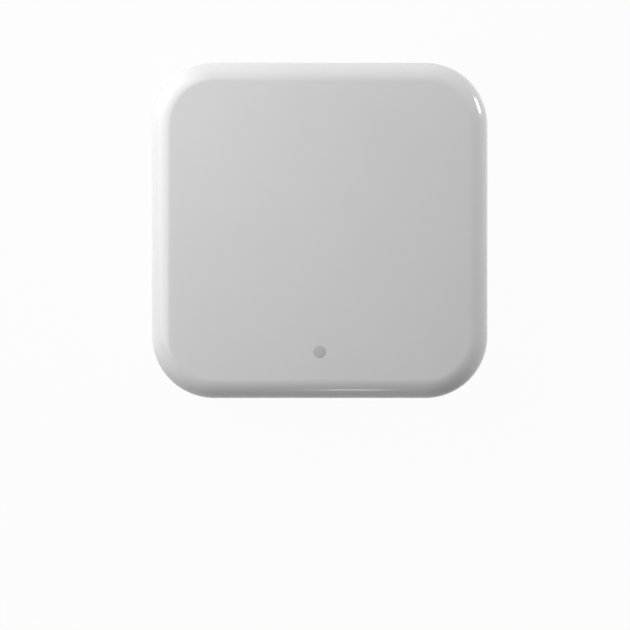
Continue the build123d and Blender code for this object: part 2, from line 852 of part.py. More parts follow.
# Capacitors: a can with a pressed groove on a moulded base, one pair beside the socket
can_level = board_top + capacitor_base_height
groove_level = can_level + capacitor_groove_lift
for step, place in enumerate(("left", "right")):
    capacitor_centre = first_capacitor_x + step * capacitor_pitch
    with BuildPart() as capacitor_base_part:
        with BuildSketch(Plane.XY.offset(board_top)):
            with Locations((capacitor_centre, power_row_y)):
                square = Rectangle(capacitor_base, capacitor_base)
            chamfer(square.vertices().group_by(Axis.X)[0], length=capacitor_base_corner)
        extrude(amount=capacitor_base_height)
    capacitor_base_part.part.label = f"capacitor_base_{place}"
    export_step(capacitor_base_part.part, f"parts/capacitor_base_{place}.step")

    with BuildPart() as capacitor_can:
        with BuildSketch(Plane.XY.offset(can_level)):
            with Locations((capacitor_centre, power_row_y)):
                Circle(capacitor_diameter / 2)
        extrude(amount=capacitor_height - capacitor_base_height)
        chamfer(capacitor_can.edges().group_by(Axis.Z)[-1], length=capacitor_groove)
        with BuildSketch(Plane.XY.offset(groove_level)):
            with Locations((capacitor_centre, power_row_y)):
                Circle(capacitor_diameter / 2)
                Circle(capacitor_diameter / 2 - capacitor_groove, mode=Mode.SUBTRACT)
        extrude(amount=capacitor_groove_height, mode=Mode.SUBTRACT)
    capacitor_can.part.label = f"capacitor_can_{place}"
    export_step(capacitor_can.part, f"parts/capacitor_can_{place}.step")


# Regulator: a moulded body with three leads in front and a wide tab behind
with BuildPart() as regulator_body:
    with BuildSketch(Plane.XY.offset(board_top + epoxy_lift)):
        with Locations((regulator_x, power_row_y)):
            Rectangle(regulator_length, regulator_width)
    extrude(amount=regulator_height)
    chamfer(regulator_body.edges().group_by(Axis.Z)[-1], length=epoxy_bevel)

regulator_body.part.label = "regulator_body"
export_step(regulator_body.part, "parts/regulator_body.step")

lead_level = board_top + regulator_height / 2
front_leads = bent_leads(
    [
        (regulator_x + step * regulator_pitch, power_row_y - regulator_width / 2, 180)
        for step in (-1, 0, 1)
    ],
    regulator_lead,
    lead_level,
)
rear_tab = bent_leads(
    [(regulator_x, power_row_y + regulator_width / 2, 0)],
    regulator_tab,
    lead_level,
)
with BuildPart() as regulator_leads:
    add(front_leads)
    add(rear_tab)

regulator_leads.part.label = "regulator_leads"
export_step(regulator_leads.part, "parts/regulator_leads.step")


# Surge diode: a moulded body with a folded lead at each end
with BuildPart() as surge_diode_body:
    with BuildSketch(Plane.XY.offset(board_top + epoxy_lift)):
        with Locations((diode_x, power_row_y)):
            Rectangle(diode_length, diode_width)
    extrude(amount=diode_height)
    chamfer(surge_diode_body.edges().group_by(Axis.Z)[-1], length=epoxy_bevel)

surge_diode_body.part.label = "surge_diode_body"
export_step(surge_diode_body.part, "parts/surge_diode_body.step")

surge_diode_leads = bent_leads(
    [
        (diode_x + diode_length / 2, power_row_y, -90),
        (diode_x - diode_length / 2, power_row_y, 90),
    ],
    diode_lead,
    board_top + diode_height / 2,
)
surge_diode_leads.label = "surge_diode_leads"
export_step(surge_diode_leads, "parts/surge_diode_leads.step")


# Input fuse between the socket and the diode
with BuildPart() as input_fuse:
    with BuildSketch(Plane.XY.offset(board_top)):
        with Locations((0, board_edge - fuse_row)):
            Rectangle(fuse_length, fuse_width)
    extrude(amount=fuse_height)
    chamfer(input_fuse.edges().group_by(Axis.Z)[-1], length=fuse_bevel)

input_fuse.part.label = "input_fuse"
export_step(input_fuse.part, "parts/input_fuse.step")


# Chip parts in two blocks between the radios
with BuildPart() as chip_capacitors:
    with BuildSketch(Plane.XY.offset(board_top)):
        with Locations((chip_x, chip_capacitor_row)):
            with GridLocations(chip_pitch_x, chip_pitch_y, 3, 3):
                Rectangle(chip_length, chip_width)
    extrude(amount=chip_capacitor_height)

chip_capacitors.part.label = "chip_capacitors"
export_step(chip_capacitors.part, "parts/chip_capacitors.step")

with BuildPart() as chip_resistors:
    with BuildSketch(Plane.XY.offset(board_top)):
        with Locations((chip_x, chip_resistor_row)):
            with GridLocations(chip_pitch_x, chip_pitch_y, 3, 3):
                Rectangle(chip_length, chip_width)
    extrude(amount=chip_resistor_height)

chip_resistors.part.label = "chip_resistors"
export_step(chip_resistors.part, "parts/chip_resistors.step")
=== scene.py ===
"""Smart home gateway: the looks of a flat square white case and of everything inside it."""

from math import asin, cos, pi, radians, sin

import bmesh
import bpy
from mathutils import Matrix, Vector


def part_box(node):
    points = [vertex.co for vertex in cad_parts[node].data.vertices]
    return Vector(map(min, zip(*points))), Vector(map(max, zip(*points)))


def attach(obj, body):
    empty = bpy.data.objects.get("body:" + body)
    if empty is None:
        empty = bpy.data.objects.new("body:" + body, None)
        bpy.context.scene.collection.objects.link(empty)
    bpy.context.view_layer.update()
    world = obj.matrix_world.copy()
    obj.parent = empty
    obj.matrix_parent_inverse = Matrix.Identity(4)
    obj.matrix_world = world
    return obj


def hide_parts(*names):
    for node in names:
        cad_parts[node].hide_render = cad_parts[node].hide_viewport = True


bl_info = {
    "name": "Smart home gateway",
    "version": (1, 0, 0),
    "blender": (4, 5, 0),
    "location": "3D View > Sidebar > Gateway",
    "description": "Dresses the packed gateway: case, status light, socket, button, board, radios",
    "category": "Object",
}

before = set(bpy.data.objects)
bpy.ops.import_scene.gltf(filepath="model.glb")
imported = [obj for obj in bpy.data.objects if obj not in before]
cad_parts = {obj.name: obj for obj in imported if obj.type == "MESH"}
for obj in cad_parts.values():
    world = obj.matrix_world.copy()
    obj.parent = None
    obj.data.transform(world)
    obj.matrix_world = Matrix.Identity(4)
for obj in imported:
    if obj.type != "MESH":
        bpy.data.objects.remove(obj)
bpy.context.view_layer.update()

MM = 0.001
CASE = "case"
KEY = "reset_key"

# Levels and places that come from the frame
COVER_LOW, COVER_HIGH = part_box("top_cover")
BASE_LOW, BASE_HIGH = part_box("base_plate")
FOOT_LOW, FOOT_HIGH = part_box("rubber_foot_rear_right")
SCREW_LOW, SCREW_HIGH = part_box("case_screws")
POST_SCREW_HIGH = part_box("board_screws")[1]
BOARD_LOW, BOARD_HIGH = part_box("main_board")
PIPE_LOW, PIPE_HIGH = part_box("light_pipe")
BUTTON_LOW, BUTTON_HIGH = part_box("reset_button")
SOCKET_LOW, SOCKET_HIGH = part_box("power_socket_shell")
CORE_LOW, CORE_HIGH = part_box("power_socket_core")

SIDE = COVER_HIGH.x - COVER_LOW.x
SEAM = COVER_LOW.z
TOP = COVER_HIGH.z
BOTTOM = BASE_LOW.z
SCREW_AT = (FOOT_LOW.x + FOOT_HIGH.x) / 2
CASE_HEAD_HEIGHT = 1.8 * MM
POST_HEAD = 3.8 * MM
POST_HEAD_HEIGHT = 1.3 * MM
POST_X = POST_SCREW_HIGH.x - POST_HEAD / 2
POST_Y = POST_SCREW_HIGH.y - POST_HEAD / 2
CASE_BORE = 1.35 * MM
POST_BORE = 1.05 * MM
BORE_END = SCREW_HIGH.z + MM
MEETING = SEAM + MM
SCREW_GRID = (2 * SCREW_AT, 2 * SCREW_AT)
POST_GRID = (2 * POST_X, 2 * POST_Y)
TONGUE_ROUNDING = 0.3 * MM
BUTTON_AT = ((BUTTON_LOW.x + BUTTON_HIGH.x) / 2, (BUTTON_LOW.z + BUTTON_HIGH.z) / 2)
BUTTON_RADIUS = 2 * MM
LIGHT_AT = (0, (PIPE_LOW.y + PIPE_HIGH.y) / 2, 0)
BOARD_TOP = BOARD_HIGH.z
BOARD_UNDERSIDE = BOARD_LOW.z
CONTACT_PITCH = 0.5 * MM
RADIO_PAD_PITCH = 1.27 * MM
TIP_RADIUS = 1.25 * MM

# How far a rib or boss runs into what it stands on, and a cut runs past what it cuts
ROOT = 0.3 * MM
PAST = MM

# Points closer than this are one point
MERGE = 0.001 * MM

# Steps round the case's upright corners, its rounded edge and the rim at its seam
CORNER_STEPS = 28
EDGE_STEPS = 25
RIM_STEPS = 4
LEAST_RIM = 0.02 * MM

# Most of a noise texture's values lie between these two, so they are the ends of a patch's range
NOISE_LOW = 0.35
NOISE_HIGH = 0.65

# Lamps: bearing from the left side towards the rear and height above the floor, in degrees, then
# distance, width, length and the point that each faces, halfway up the case
LAMPS = {
    "key": (28, 40, 0.29, 0.36, 0.36, (0, 0)),
    "low": (42, 21, 0.29, 0.16, 0.16, (0, 0)),
    "rim": (157, 5, 0.29, 0.07, 0.07, (0, 0)),
    "strip": (270, 24, 0.15, 0.014, 0.008, (0.0075, -0.033)),
}

# Lamps that the case doesn't mirror, because its top would clip to white there, and lamps that it
# only mirrors, because they would brighten the whole front edge
UNSEEN_LAMPS = ("low",)
GLINT_LAMPS = ("strip",)

# The photograph's frame, in its pixels, and how high the camera stands over the floor
PHOTO_SIZE = 630
PHOTO_MIDDLE = 314.5
CAMERA_HEIGHT = 0.6
CASE_WIDTH_IN_PHOTO = 335.4
CASE_IN_PHOTO = (319.3, 229.9)


def to_linear(hex_value):
    """Linear RGB from an sRGB hex value."""
    channels = [int(hex_value[place:place + 2], 16) / 255 for place in (0, 2, 4)]
    return tuple(
        value / 12.92 if value <= 0.04045 else ((value + 0.055) / 1.055) ** 2.4
        for value in channels
    )


# Settings that a user would change

class GatewayCaseSizes(bpy.types.PropertyGroup):
    """Sizes of the two moulded shells."""

    corner: bpy.props.FloatProperty(
        name="Corner radius", description="Radius of the upright corners, seen from above",
        default=13 * MM, unit="LENGTH",
    )
    edge: bpy.props.FloatProperty(
        name="Edge radius", description="Rounding between the walls and the top or the underside",
        default=4 * MM, unit="LENGTH",
    )
    wall: bpy.props.FloatProperty(
        name="Wall", description="Thickness of the walls, the roof and the floor",
        default=2 * MM, unit="LENGTH",
    )
    rim: bpy.props.FloatProperty(
        name="Seam rounding", description="Rounding of the two rims where the shells meet",
        default=0.15 * MM, unit="LENGTH",
    )
    tongue: bpy.props.FloatProperty(
        name="Tongue", description="Thickness of the tongue that centres the cover",
        default=0.9 * MM, unit="LENGTH",
    )
    play: bpy.props.FloatProperty(
        name="Tongue play", description="Gap on each side of the tongue",
        default=0.1 * MM, unit="LENGTH",
    )
    rib: bpy.props.FloatProperty(
        name="Rib", description="Thickness of the stiffening ribs",
        default=1.2 * MM, unit="LENGTH",
    )


class GatewayColours(bpy.types.PropertyGroup):
    """Colours of what shows from outside."""

    case: bpy.props.FloatVectorProperty(
        name="Case", description="Moulded shells", subtype="COLOR", default=to_linear("EFEFEF"),
    )
    light: bpy.props.FloatVectorProperty(
        name="Light", description="Frosted end of the light pipe", subtype="COLOR",
        default=to_linear("D1D1D0"),
    )
    # Part of the feet's light grey is painted light, against the shade that the case casts on them
    feet: bpy.props.FloatVectorProperty(
        name="Feet", description="Rubber feet", subtype="COLOR", default=to_linear("C4C5C6"),
    )
    button: bpy.props.FloatVectorProperty(
        name="Button", description="Reset button", subtype="COLOR", default=to_linear("DCDDDD"),
    )


class GatewayStage(bpy.types.PropertyGroup):
    """Lamps, floor and camera.

    At a lamp's level of 1, a white surface that faces it turns plain white.
    """

    sky: bpy.props.FloatProperty(
        name="Sky", description="Level of the even light from all round", default=0.175, min=0,
        max=1,
    )
    key: bpy.props.FloatProperty(
        name="Key lamp", description="Level of the large lamp at the left rear", default=0.75,
        min=0, max=3,
    )
    low: bpy.props.FloatProperty(
        name="Low lamp", description="Level of the lower lamp at the left rear", default=0.32,
        min=0, max=3,
    )
    rim: bpy.props.FloatProperty(
        name="Rim lamp", description="Level of the lamp at the right rear", default=0.36, min=0,
        max=3,
    )
    strip: bpy.props.FloatProperty(
        name="Strip lamp",
        description="Level of the small lamp in front, which only streaks the front edge",
        default=0.026, min=0, max=1,
    )
    floor_glow: bpy.props.FloatProperty(
        name="Floor glow", description="Share of plain white in what the camera sees of the floor",
        default=0.96, min=0, max=1,
    )
    view_width: bpy.props.FloatProperty(
        name="View width", description="Width of the view on the floor",
        default=SIDE / CASE_WIDTH_IN_PHOTO * PHOTO_SIZE, unit="LENGTH",
    )


# Meshes

def make_object(name, vertices=(), faces=()):
    """A mesh object at the origin."""
    mesh = bpy.data.meshes.new(name)
    mesh.from_pydata([tuple(point) for point in vertices], [], [tuple(face) for face in faces])
    piece = bpy.data.objects.new(name, mesh)
    bpy.context.scene.collection.objects.link(piece)
    return piece


def settle(piece):
    """Turn the piece's modifiers into its mesh."""
    bpy.context.view_layer.update()
    graph = bpy.context.evaluated_depsgraph_get()
    mesh = bpy.data.meshes.new_from_object(piece.evaluated_get(graph))
    piece.modifiers.clear()
    spent = piece.data
    piece.data = mesh
    bpy.data.meshes.remove(spent)
    mesh.name = piece.name
    return piece


def box(name, low, high):
    """A plain block between two corners."""
    corners = [
        (x, y, z)
        for x in (low[0], high[0]) for y in (low[1], high[1]) for z in (low[2], high[2])
    ]
    faces = [(0, 1, 3, 2), (4, 6, 7, 5), (0, 4, 5, 1), (2, 3, 7, 6), (0, 2, 6, 4), (1, 5, 7, 3)]
    return make_object(name, corners, faces)


def turned(name, profile, centre=(0, 0, 0), steps=64, facing="up"):
    """A solid turned from (radius, height) points, from the lower end of its axis to the upper.

    It stands on its centre and points up, or lies and points to the rear.
    """
    vertices, rows, faces = [], [], []
    for radius, height in profile:
        count = steps if radius > 0 else 1
        rows.append([len(vertices) + step % count for step in range(steps)])
        for step in range(count):
            angle = step / steps * 2 * pi
            vertices.append((radius * cos(angle), radius * sin(angle), height))
    for low, high in zip(rows, rows[1:]):
        for step in range(steps):
            after = (step + 1) % steps
            corners = dict.fromkeys([low[step], low[after], high[after], high[step]])
            faces.append(list(corners))
    piece = make_object(name, vertices, faces)
    lay = Matrix.Rotation(-pi / 2, 4, "X") if facing == "rear" else Matrix.Identity(4)
    piece.data.transform(Matrix.Translation(centre) @ lay)
    return piece


def rod(name, radius, low, high, centre=(0, 0, 0)):
    """A plain upright cylinder between two levels."""
    return turned(name, [(0, low), (radius, low), (radius, high), (0, high)], centre)


def bend(centre_radius, centre_height, radius, start, end, steps=6):
    """Profile points along an arc, with its angles in degrees from straight out."""
    points = []
    for step in range(steps + 1):
        angle = radians(start + (end - start) * step / steps)
        points.append((centre_radius + radius * cos(angle), centre_height + radius * sin(angle)))
    return points


def middle_of(low, high):
    """The middle of a box seen from above, as a place at level 0."""
    return ((low.x + high.x) / 2, (low.y + high.y) / 2, 0)


def upright_slot(name, width, height, centre, front, back, steps=16):
    """A bar along Y with a stadium section, centred on (x, z), from its front to its back."""
    ring = []
    for side, start in ((1, -90), (-1, 90)):
        middle = centre[0] + side * (width - height) / 2
        for step in range(steps + 1):
            angle = radians(start + 180 * step / steps)
            ring.append((middle + height / 2 * cos(angle), centre[1] + height / 2 * sin(angle)))
    count = len(ring)
    vertices = [(x, y, z) for y in (front, back) for x, z in ring]
    faces = [list(range(count)), list(range(count, 2 * count))[::-1]]
    for step in range(count):
        after = (step + 1) % count
        faces.append([after, step, step + count, after + count])
    return make_object(name, vertices, faces)


def combine(piece, tool, operation):
    """Join the tool to the piece, cut it out or keep what they share, and delete the tool."""
    change = piece.modifiers.new(operation, "BOOLEAN")
    change.object = tool
    change.operation = operation
    change.solver = "MANIFOLD"
    settle(piece)
    bpy.data.objects.remove(tool)
    return piece


def soften(piece, width, segments=2):
    """Round the piece's sharp edges a little, as moulds, dies and tumbling leave them."""
    rounding = piece.modifiers.new("soften", "BEVEL")
    rounding.width = width
    rounding.segments = segments
    rounding.limit_method = "ANGLE"
    rounding.angle_limit = radians(40)
    return settle(piece)


def join(first, second):
    """One piece from two, or the second alone where there is no first yet."""
    if first is None:
        return second
    work = bmesh.new()
    work.from_mesh(first.data)
    work.from_mesh(second.data)
    work.to_mesh(first.data)
    work.free()
    bpy.data.objects.remove(second)
    return first


def tidy_mesh(piece):
    """Merge points that lie together and drop faces with no area."""
    work = bmesh.new()
    work.from_mesh(piece.data)
    bmesh.ops.remove_doubles(work, verts=work.verts, dist=MERGE)
    bmesh.ops.dissolve_degenerate(work, edges=work.edges, dist=MERGE / 2)
    work.to_mesh(piece.data)
    work.free()
    return piece


def dress(piece, body, slot, *nodes, crease=30):
    """Shade a finished piece, give it its finish and body, and let it stand for CAD nodes."""
    mesh = piece.data
    mesh.polygons.foreach_set("use_smooth", [True] * len(mesh.polygons))
    mesh.set_sharp_from_angle(angle=radians(crease))
    mesh.materials.clear()
    mesh.materials.append(finish(slot))
    mesh.polygons.foreach_set("material_index", [0] * len(mesh.polygons))
    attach(piece, body)
    if nodes:
        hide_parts(*nodes)
    return piece


def eased(node, body, slot, width=0.05 * MM, segments=2):
    """A copy of a CAD node with its sharp edges eased, which stands for it."""
    piece = make_object(f"{node}_eased")
    work = bmesh.new()
    work.from_mesh(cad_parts[node].data)
    bmesh.ops.remove_doubles(work, verts=work.verts, dist=MERGE)
    bmesh.ops.dissolve_limit(work, angle_limit=radians(1), verts=work.verts, edges=work.edges)
    work.to_mesh(piece.data)
    work.free()
    soften(piece, width, segments)
    return dress(piece, body, slot, node)


# Node trees

def add_node(tree, kind, settings=None, inputs=None):
    """Add a node. An input takes a value, a socket, or a node whose first output feeds it."""
    made = tree.nodes.new(kind)
    for name, value in (settings or {}).items():
        setattr(made, name, value)
    for key, value in (inputs or {}).items():
        for item in value if isinstance(value, list) else [value]:
            if isinstance(item, bpy.types.Node):
                tree.links.new(item.outputs[0], made.inputs[key])
            elif isinstance(item, bpy.types.NodeSocket):
                tree.links.new(item, made.inputs[key])
            else:
                made.inputs[key].default_value = item
    return made


def start_tree(name, **inputs):
    """A geometry tree with a named input for each value; returns it and its input sockets."""
    kinds = {
        float: "NodeSocketFloat", int: "NodeSocketInt", tuple: "NodeSocketVector",
        type(None): "NodeSocketObject",
    }
    tree = bpy.data.node_groups.new(name, "GeometryNodeTree")
    for label, default in inputs.items():
        socket = tree.interface.new_socket(
            name=label.replace("_", " "), in_out="INPUT", socket_type=kinds[type(default)],
        )
        if default is not None:
            socket.default_value = default
    tree.interface.new_socket(name="Material", in_out="INPUT", socket_type="NodeSocketMaterial")
    tree.interface.new_socket(name="Mesh", in_out="OUTPUT", socket_type="NodeSocketGeometry")
    given = add_node(tree, "NodeGroupInput").outputs
    return tree, given


def end_tree(tree, given, made):
    """Turn what a tree made into one real mesh in the given material."""
    real = add_node(tree, "GeometryNodeRealizeInstances", None, {"Geometry": made})
    coated = add_node(
        tree, "GeometryNodeSetMaterial", None, {"Geometry": real, "Material": given["Material"]},
    )
    add_node(tree, "NodeGroupOutput", None, {0: coated})
    return tree


def grow(name, tree, slot, **values):
    """The plain mesh object that a geometry tree makes from its named inputs."""
    piece = make_object(name)
    modifier = piece.modifiers.new(tree.name, "NODES")
    modifier.node_group = tree
    values["Material"] = finish(slot)
    for item in tree.interface.items_tree:
        key = item.name.replace(" ", "_")
        if item.item_type == "SOCKET" and item.in_out == "INPUT" and key in values:
            modifier[item.identifier] = values[key]
    return settle(piece)


def rounded_block_tree():
    """A closed square block with round corners, a rounded top edge and an eased lower rim.

    The section of its wall, from the flat top outwards and down to the flat underside, is swept
    round the outline of the flat top. A profile's X points out of that outline and its Y down.
    """
    tree, given = start_tree(
        "Rounded block", Side=70 * MM, Corner=13 * MM, Edge=4 * MM, Rim=0.1 * MM, Low=0.0,
        High=20 * MM,
    )
    flat = add_node(
        tree, "ShaderNodeMath", {"operation": "MULTIPLY_ADD"},
        {0: given["Edge"], 1: -2.0, 2: given["Side"]},
    )
    flat_corner = add_node(
        tree, "ShaderNodeMath", {"operation": "SUBTRACT"}, {0: given["Corner"], 1: given["Edge"]},
    )
    square = add_node(
        tree, "GeometryNodeCurvePrimitiveQuadrilateral", None, {"Width": flat, "Height": flat},
    )
    outline = add_node(
        tree, "GeometryNodeFilletCurve", {"mode": "POLY"},
        {"Curve": square, "Radius": flat_corner, "Count": CORNER_STEPS},
    )

    # The two arcs of the section, and the straight wall and underside between and after them
    edge_down = add_node(
        tree, "ShaderNodeMath", {"operation": "SUBTRACT"}, {0: given["Edge"], 1: given["High"]},
    )
    rim_down = add_node(
        tree, "ShaderNodeMath", {"operation": "ADD"}, {0: given["Rim"], 1: given["Low"]},
    )
    rim_down = add_node(tree, "ShaderNodeMath", {"operation": "MULTIPLY"}, {0: rim_down, 1: -1.0})
    low_down = add_node(
        tree, "ShaderNodeMath", {"operation": "MULTIPLY"}, {0: given["Low"], 1: -1.0},
    )
    rim_out = add_node(
        tree, "ShaderNodeMath", {"operation": "SUBTRACT"}, {0: given["Edge"], 1: given["Rim"]},
    )
    edge_arc = add_node(
        tree, "GeometryNodeCurveArc", None,
        {
            "Resolution": EDGE_STEPS, "Radius": given["Edge"], "Start Angle": -pi / 2,
            "Sweep Angle": pi / 2,
        },
    )
    edge_centre = add_node(tree, "ShaderNodeCombineXYZ", None, {"Y": edge_down})
    edge_arc = add_node(
        tree, "GeometryNodeTransform", None, {"Geometry": edge_arc, "Translation": edge_centre},
    )
    rim_arc = add_node(
        tree, "GeometryNodeCurveArc", None,
        {
            "Resolution": RIM_STEPS, "Radius": given["Rim"], "Start Angle": 0.0,
            "Sweep Angle": pi / 2,
        },
    )
    rim_centre = add_node(tree, "ShaderNodeCombineXYZ", None, {"X": rim_out, "Y": rim_down})
    rim_arc = add_node(
        tree, "GeometryNodeTransform", None, {"Geometry": rim_arc, "Translation": rim_centre},
    )
    wall_top = add_node(tree, "ShaderNodeCombineXYZ", None, {"X": given["Edge"], "Y": edge_down})
    wall_foot = add_node(tree, "ShaderNodeCombineXYZ", None, {"X": given["Edge"], "Y": rim_down})
    wall = add_node(
        tree, "GeometryNodeCurvePrimitiveLine", None, {"Start": wall_top, "End": wall_foot},
    )
    under_rim = add_node(tree, "ShaderNodeCombineXYZ", None, {"X": rim_out, "Y": low_down})
    under_end = add_node(tree, "ShaderNodeCombineXYZ", None, {"Y": low_down})
    under = add_node(
        tree, "GeometryNodeCurvePrimitiveLine", None, {"Start": under_rim, "End": under_end},
    )
    section = add_node(
        tree, "GeometryNodeJoinGeometry", None, {"Geometry": [edge_arc, wall, rim_arc, under]},
    )
    skin = add_node(
        tree, "GeometryNodeCurveToMesh", None, {"Curve": outline, "Profile Curve": section},
    )

    # Flat top and underside
    cap = add_node(tree, "GeometryNodeFillCurve", {"mode": "NGONS"}, {"Curve": outline})
    rise = add_node(tree, "ShaderNodeCombineXYZ", None, {"Z": given["High"]})
    top = add_node(tree, "GeometryNodeTransform", None, {"Geometry": cap, "Translation": rise})
    drop = add_node(tree, "ShaderNodeCombineXYZ", None, {"Z": given["Low"]})
    foot = add_node(tree, "GeometryNodeTransform", None, {"Geometry": cap, "Translation": drop})
    foot = add_node(tree, "GeometryNodeFlipFaces", None, {"Mesh": foot})
    whole = add_node(tree, "GeometryNodeJoinGeometry", None, {"Geometry": [skin, top, foot]})
    closed = add_node(
        tree, "GeometryNodeMergeByDistance", None, {"Geometry": whole, "Distance": 2 * MERGE},
    )
    return end_tree(tree, given, closed)


def grid_tree():
    """Copies of one piece on a level grid."""
    tree, given = start_tree(
        "Copies on a grid", Piece=None, Columns=2, Rows=2, Pitch_X=1 * MM, Pitch_Y=1 * MM,
        Centre=(0.0, 0.0, 0.0),
    )
    across = add_node(
        tree, "ShaderNodeMath", {"operation": "SUBTRACT"}, {0: given["Columns"], 1: 1.0},
    )
    across = add_node(
        tree, "ShaderNodeMath", {"operation": "MULTIPLY"}, {0: across, 1: given["Pitch X"]},
    )
    along = add_node(tree, "ShaderNodeMath", {"operation": "SUBTRACT"}, {0: given["Rows"], 1: 1.0})
    along = add_node(
        tree, "ShaderNodeMath", {"operation": "MULTIPLY"}, {0: along, 1: given["Pitch Y"]},
    )
    grid = add_node(
        tree, "GeometryNodeMeshGrid", None,
        {
            "Size X": across, "Size Y": along, "Vertices X": given["Columns"],
            "Vertices Y": given["Rows"],
        },
    )
    placed = add_node(
        tree, "GeometryNodeTransform", None, {"Geometry": grid, "Translation": given["Centre"]},
    )
    source = add_node(tree, "GeometryNodeObjectInfo", None, {"Object": given["Piece"]})
    copies = add_node(
        tree, "GeometryNodeInstanceOnPoints", None,
        {"Points": placed, "Instance": source.outputs["Geometry"]},
    )
    return end_tree(tree, given, copies)


def thread_tree():
    """The ridge of a screw thread, which climbs round +Z and runs out to nothing at both ends."""
    tree, given = start_tree(
        "Thread ridge", Radius=1 * MM, Depth=0.2 * MM, Pitch=0.8 * MM, Length=8 * MM,
    )
    turns = add_node(
        tree, "ShaderNodeMath", {"operation": "DIVIDE"}, {0: given["Length"], 1: given["Pitch"]},
    )
    helix = add_node(
        tree, "GeometryNodeCurveSpiral", None,
        {
            "Resolution": 20, "Rotations": turns, "Start Radius": given["Radius"],
            "End Radius": given["Radius"], "Height": given["Length"],
        },
    )
    ridge = add_node(
        tree, "GeometryNodeCurvePrimitiveCircle", None, {"Resolution": 4, "Radius": given["Depth"]},
    )
    along = add_node(tree, "GeometryNodeSplineParameter").outputs["Factor"]
    to_end = add_node(tree, "ShaderNodeMath", {"operation": "PINGPONG"}, {0: along, 1: 0.5})
    taper = add_node(
        tree, "ShaderNodeMapRange", None, {"Value": to_end, "From Max": 0.06, "To Min": 0.05},
    )
    swept = add_node(
        tree, "GeometryNodeCurveToMesh", None,
        {"Curve": helix, "Profile Curve": ridge, "Scale": taper, "Fill Caps": True},
    )
    return end_tree(tree, given, swept)


def row_tree():
    """Copies of one piece along a line."""
    tree, given = start_tree(
        "Copies along a line", Piece=None, Count=2, Start=(0.0, 0.0, 0.0), Step=(0.0, 0.0, 0.0),
    )
    row = add_node(
        tree, "GeometryNodeMeshLine", None,
        {"Count": given["Count"], "Start Location": given["Start"], "Offset": given["Step"]},
    )
    source = add_node(tree, "GeometryNodeObjectInfo", None, {"Object": given["Piece"]})
    copies = add_node(
        tree, "GeometryNodeInstanceOnPoints", None,
        {"Points": row, "Instance": source.outputs["Geometry"]},
    )
    return end_tree(tree, given, copies)


def track_tree():
    """Copper tracks: copies side by side of a flat strip that follows a path."""
    tree, given = start_tree(
        "Track bundle", Path=None, Count=1, Step=(0.0, 0.0, 0.0), Width=0.3 * MM, Height=0.04 * MM,
    )
    path = add_node(tree, "GeometryNodeObjectInfo", None, {"Object": given["Path"]})
    line = add_node(tree, "GeometryNodeMeshToCurve", None, {"Mesh": path.outputs["Geometry"]})
    level = add_node(tree, "GeometryNodeSetCurveNormal", {"mode": "Z_UP"}, {"Curve": line})
    section = add_node(
        tree, "GeometryNodeCurvePrimitiveQuadrilateral", None,
        {"Width": given["Width"], "Height": given["Height"]},
    )
    strip = add_node(
        tree, "GeometryNodeCurveToMesh", None,
        {"Curve": level, "Profile Curve": section, "Fill Caps": True},
    )
    row = add_node(
        tree, "GeometryNodeMeshLine", None, {"Count": given["Count"], "Offset": given["Step"]},
    )
    copies = add_node(
        tree, "GeometryNodeInstanceOnPoints", None, {"Points": row, "Instance": strip},
    )
    return end_tree(tree, given, copies)


def stitch_tree():
    """Copies of a plated hole along a rounded square, up to a limit towards the rear."""
    tree, given = start_tree(
        "Stitching holes", Piece=None, Side=57 * MM, Corner=6.6 * MM, Pitch=3 * MM,
        Rear_limit=20 * MM,
    )
    square = add_node(
        tree, "GeometryNodeCurvePrimitiveQuadrilateral", None,
        {"Width": given["Side"], "Height": given["Side"]},
    )
    path = add_node(
        tree, "GeometryNodeFilletCurve", {"mode": "POLY"},
        {"Curve": square, "Radius": given["Corner"], "Count": 8},
    )
    spots = add_node(
        tree, "GeometryNodeCurveToPoints", {"mode": "LENGTH"},
        {"Curve": path, "Length": given["Pitch"]},
    )
    along = add_node(
        tree, "ShaderNodeSeparateXYZ", None, {0: add_node(tree, "GeometryNodeInputPosition")},
    )
    in_front = add_node(
        tree, "FunctionNodeCompare", {"operation": "LESS_THAN"},
        {0: along.outputs["Y"], 1: given["Rear limit"]},
    )
    source = add_node(tree, "GeometryNodeObjectInfo", None, {"Object": given["Piece"]})
    holes = add_node(
        tree, "GeometryNodeInstanceOnPoints", None,
        {"Points": spots, "Selection": in_front, "Instance": source.outputs["Geometry"]},
    )
    return end_tree(tree, given, holes)


TREES = {}


def tree_for(maker):
    """The tree that a maker builds, built once."""
    if maker not in TREES:
        TREES[maker] = maker()
    return TREES[maker]


def repeat(name, piece, slot, columns, rows, pitch, centre=(0, 0, 0)):
    """Copies of a piece on a grid, as one piece in its place."""
    copies = grow(
        name, tree_for(grid_tree), slot,
        Piece=piece, Columns=columns, Rows=rows, Pitch_X=pitch[0], Pitch_Y=pitch[1],
        Centre=tuple(centre),
    )
    bpy.data.objects.remove(piece)
    return copies


# Finishes

def tint(colour, share=1.0):
    """RGBA with a share of a colour's light. The colour is an sRGB hex value or linear."""
    linear = to_linear(colour) if isinstance(colour, str) else colour
    return (*[channel * share for channel in linear], 1.0)


def start_finish(name, **sockets):
    """A material with one Principled shader; returns it with its tree, shader and coordinates."""
    material = bpy.data.materials.new(name)
    material.use_nodes = True
    tree = material.node_tree
    shader = tree.nodes["Principled BSDF"]
    for key, value in sockets.items():
        shader.inputs[key.replace("_", " ")].default_value = value
    place = add_node(tree, "ShaderNodeTexCoord").outputs["Object"]
    return material, tree, shader, place


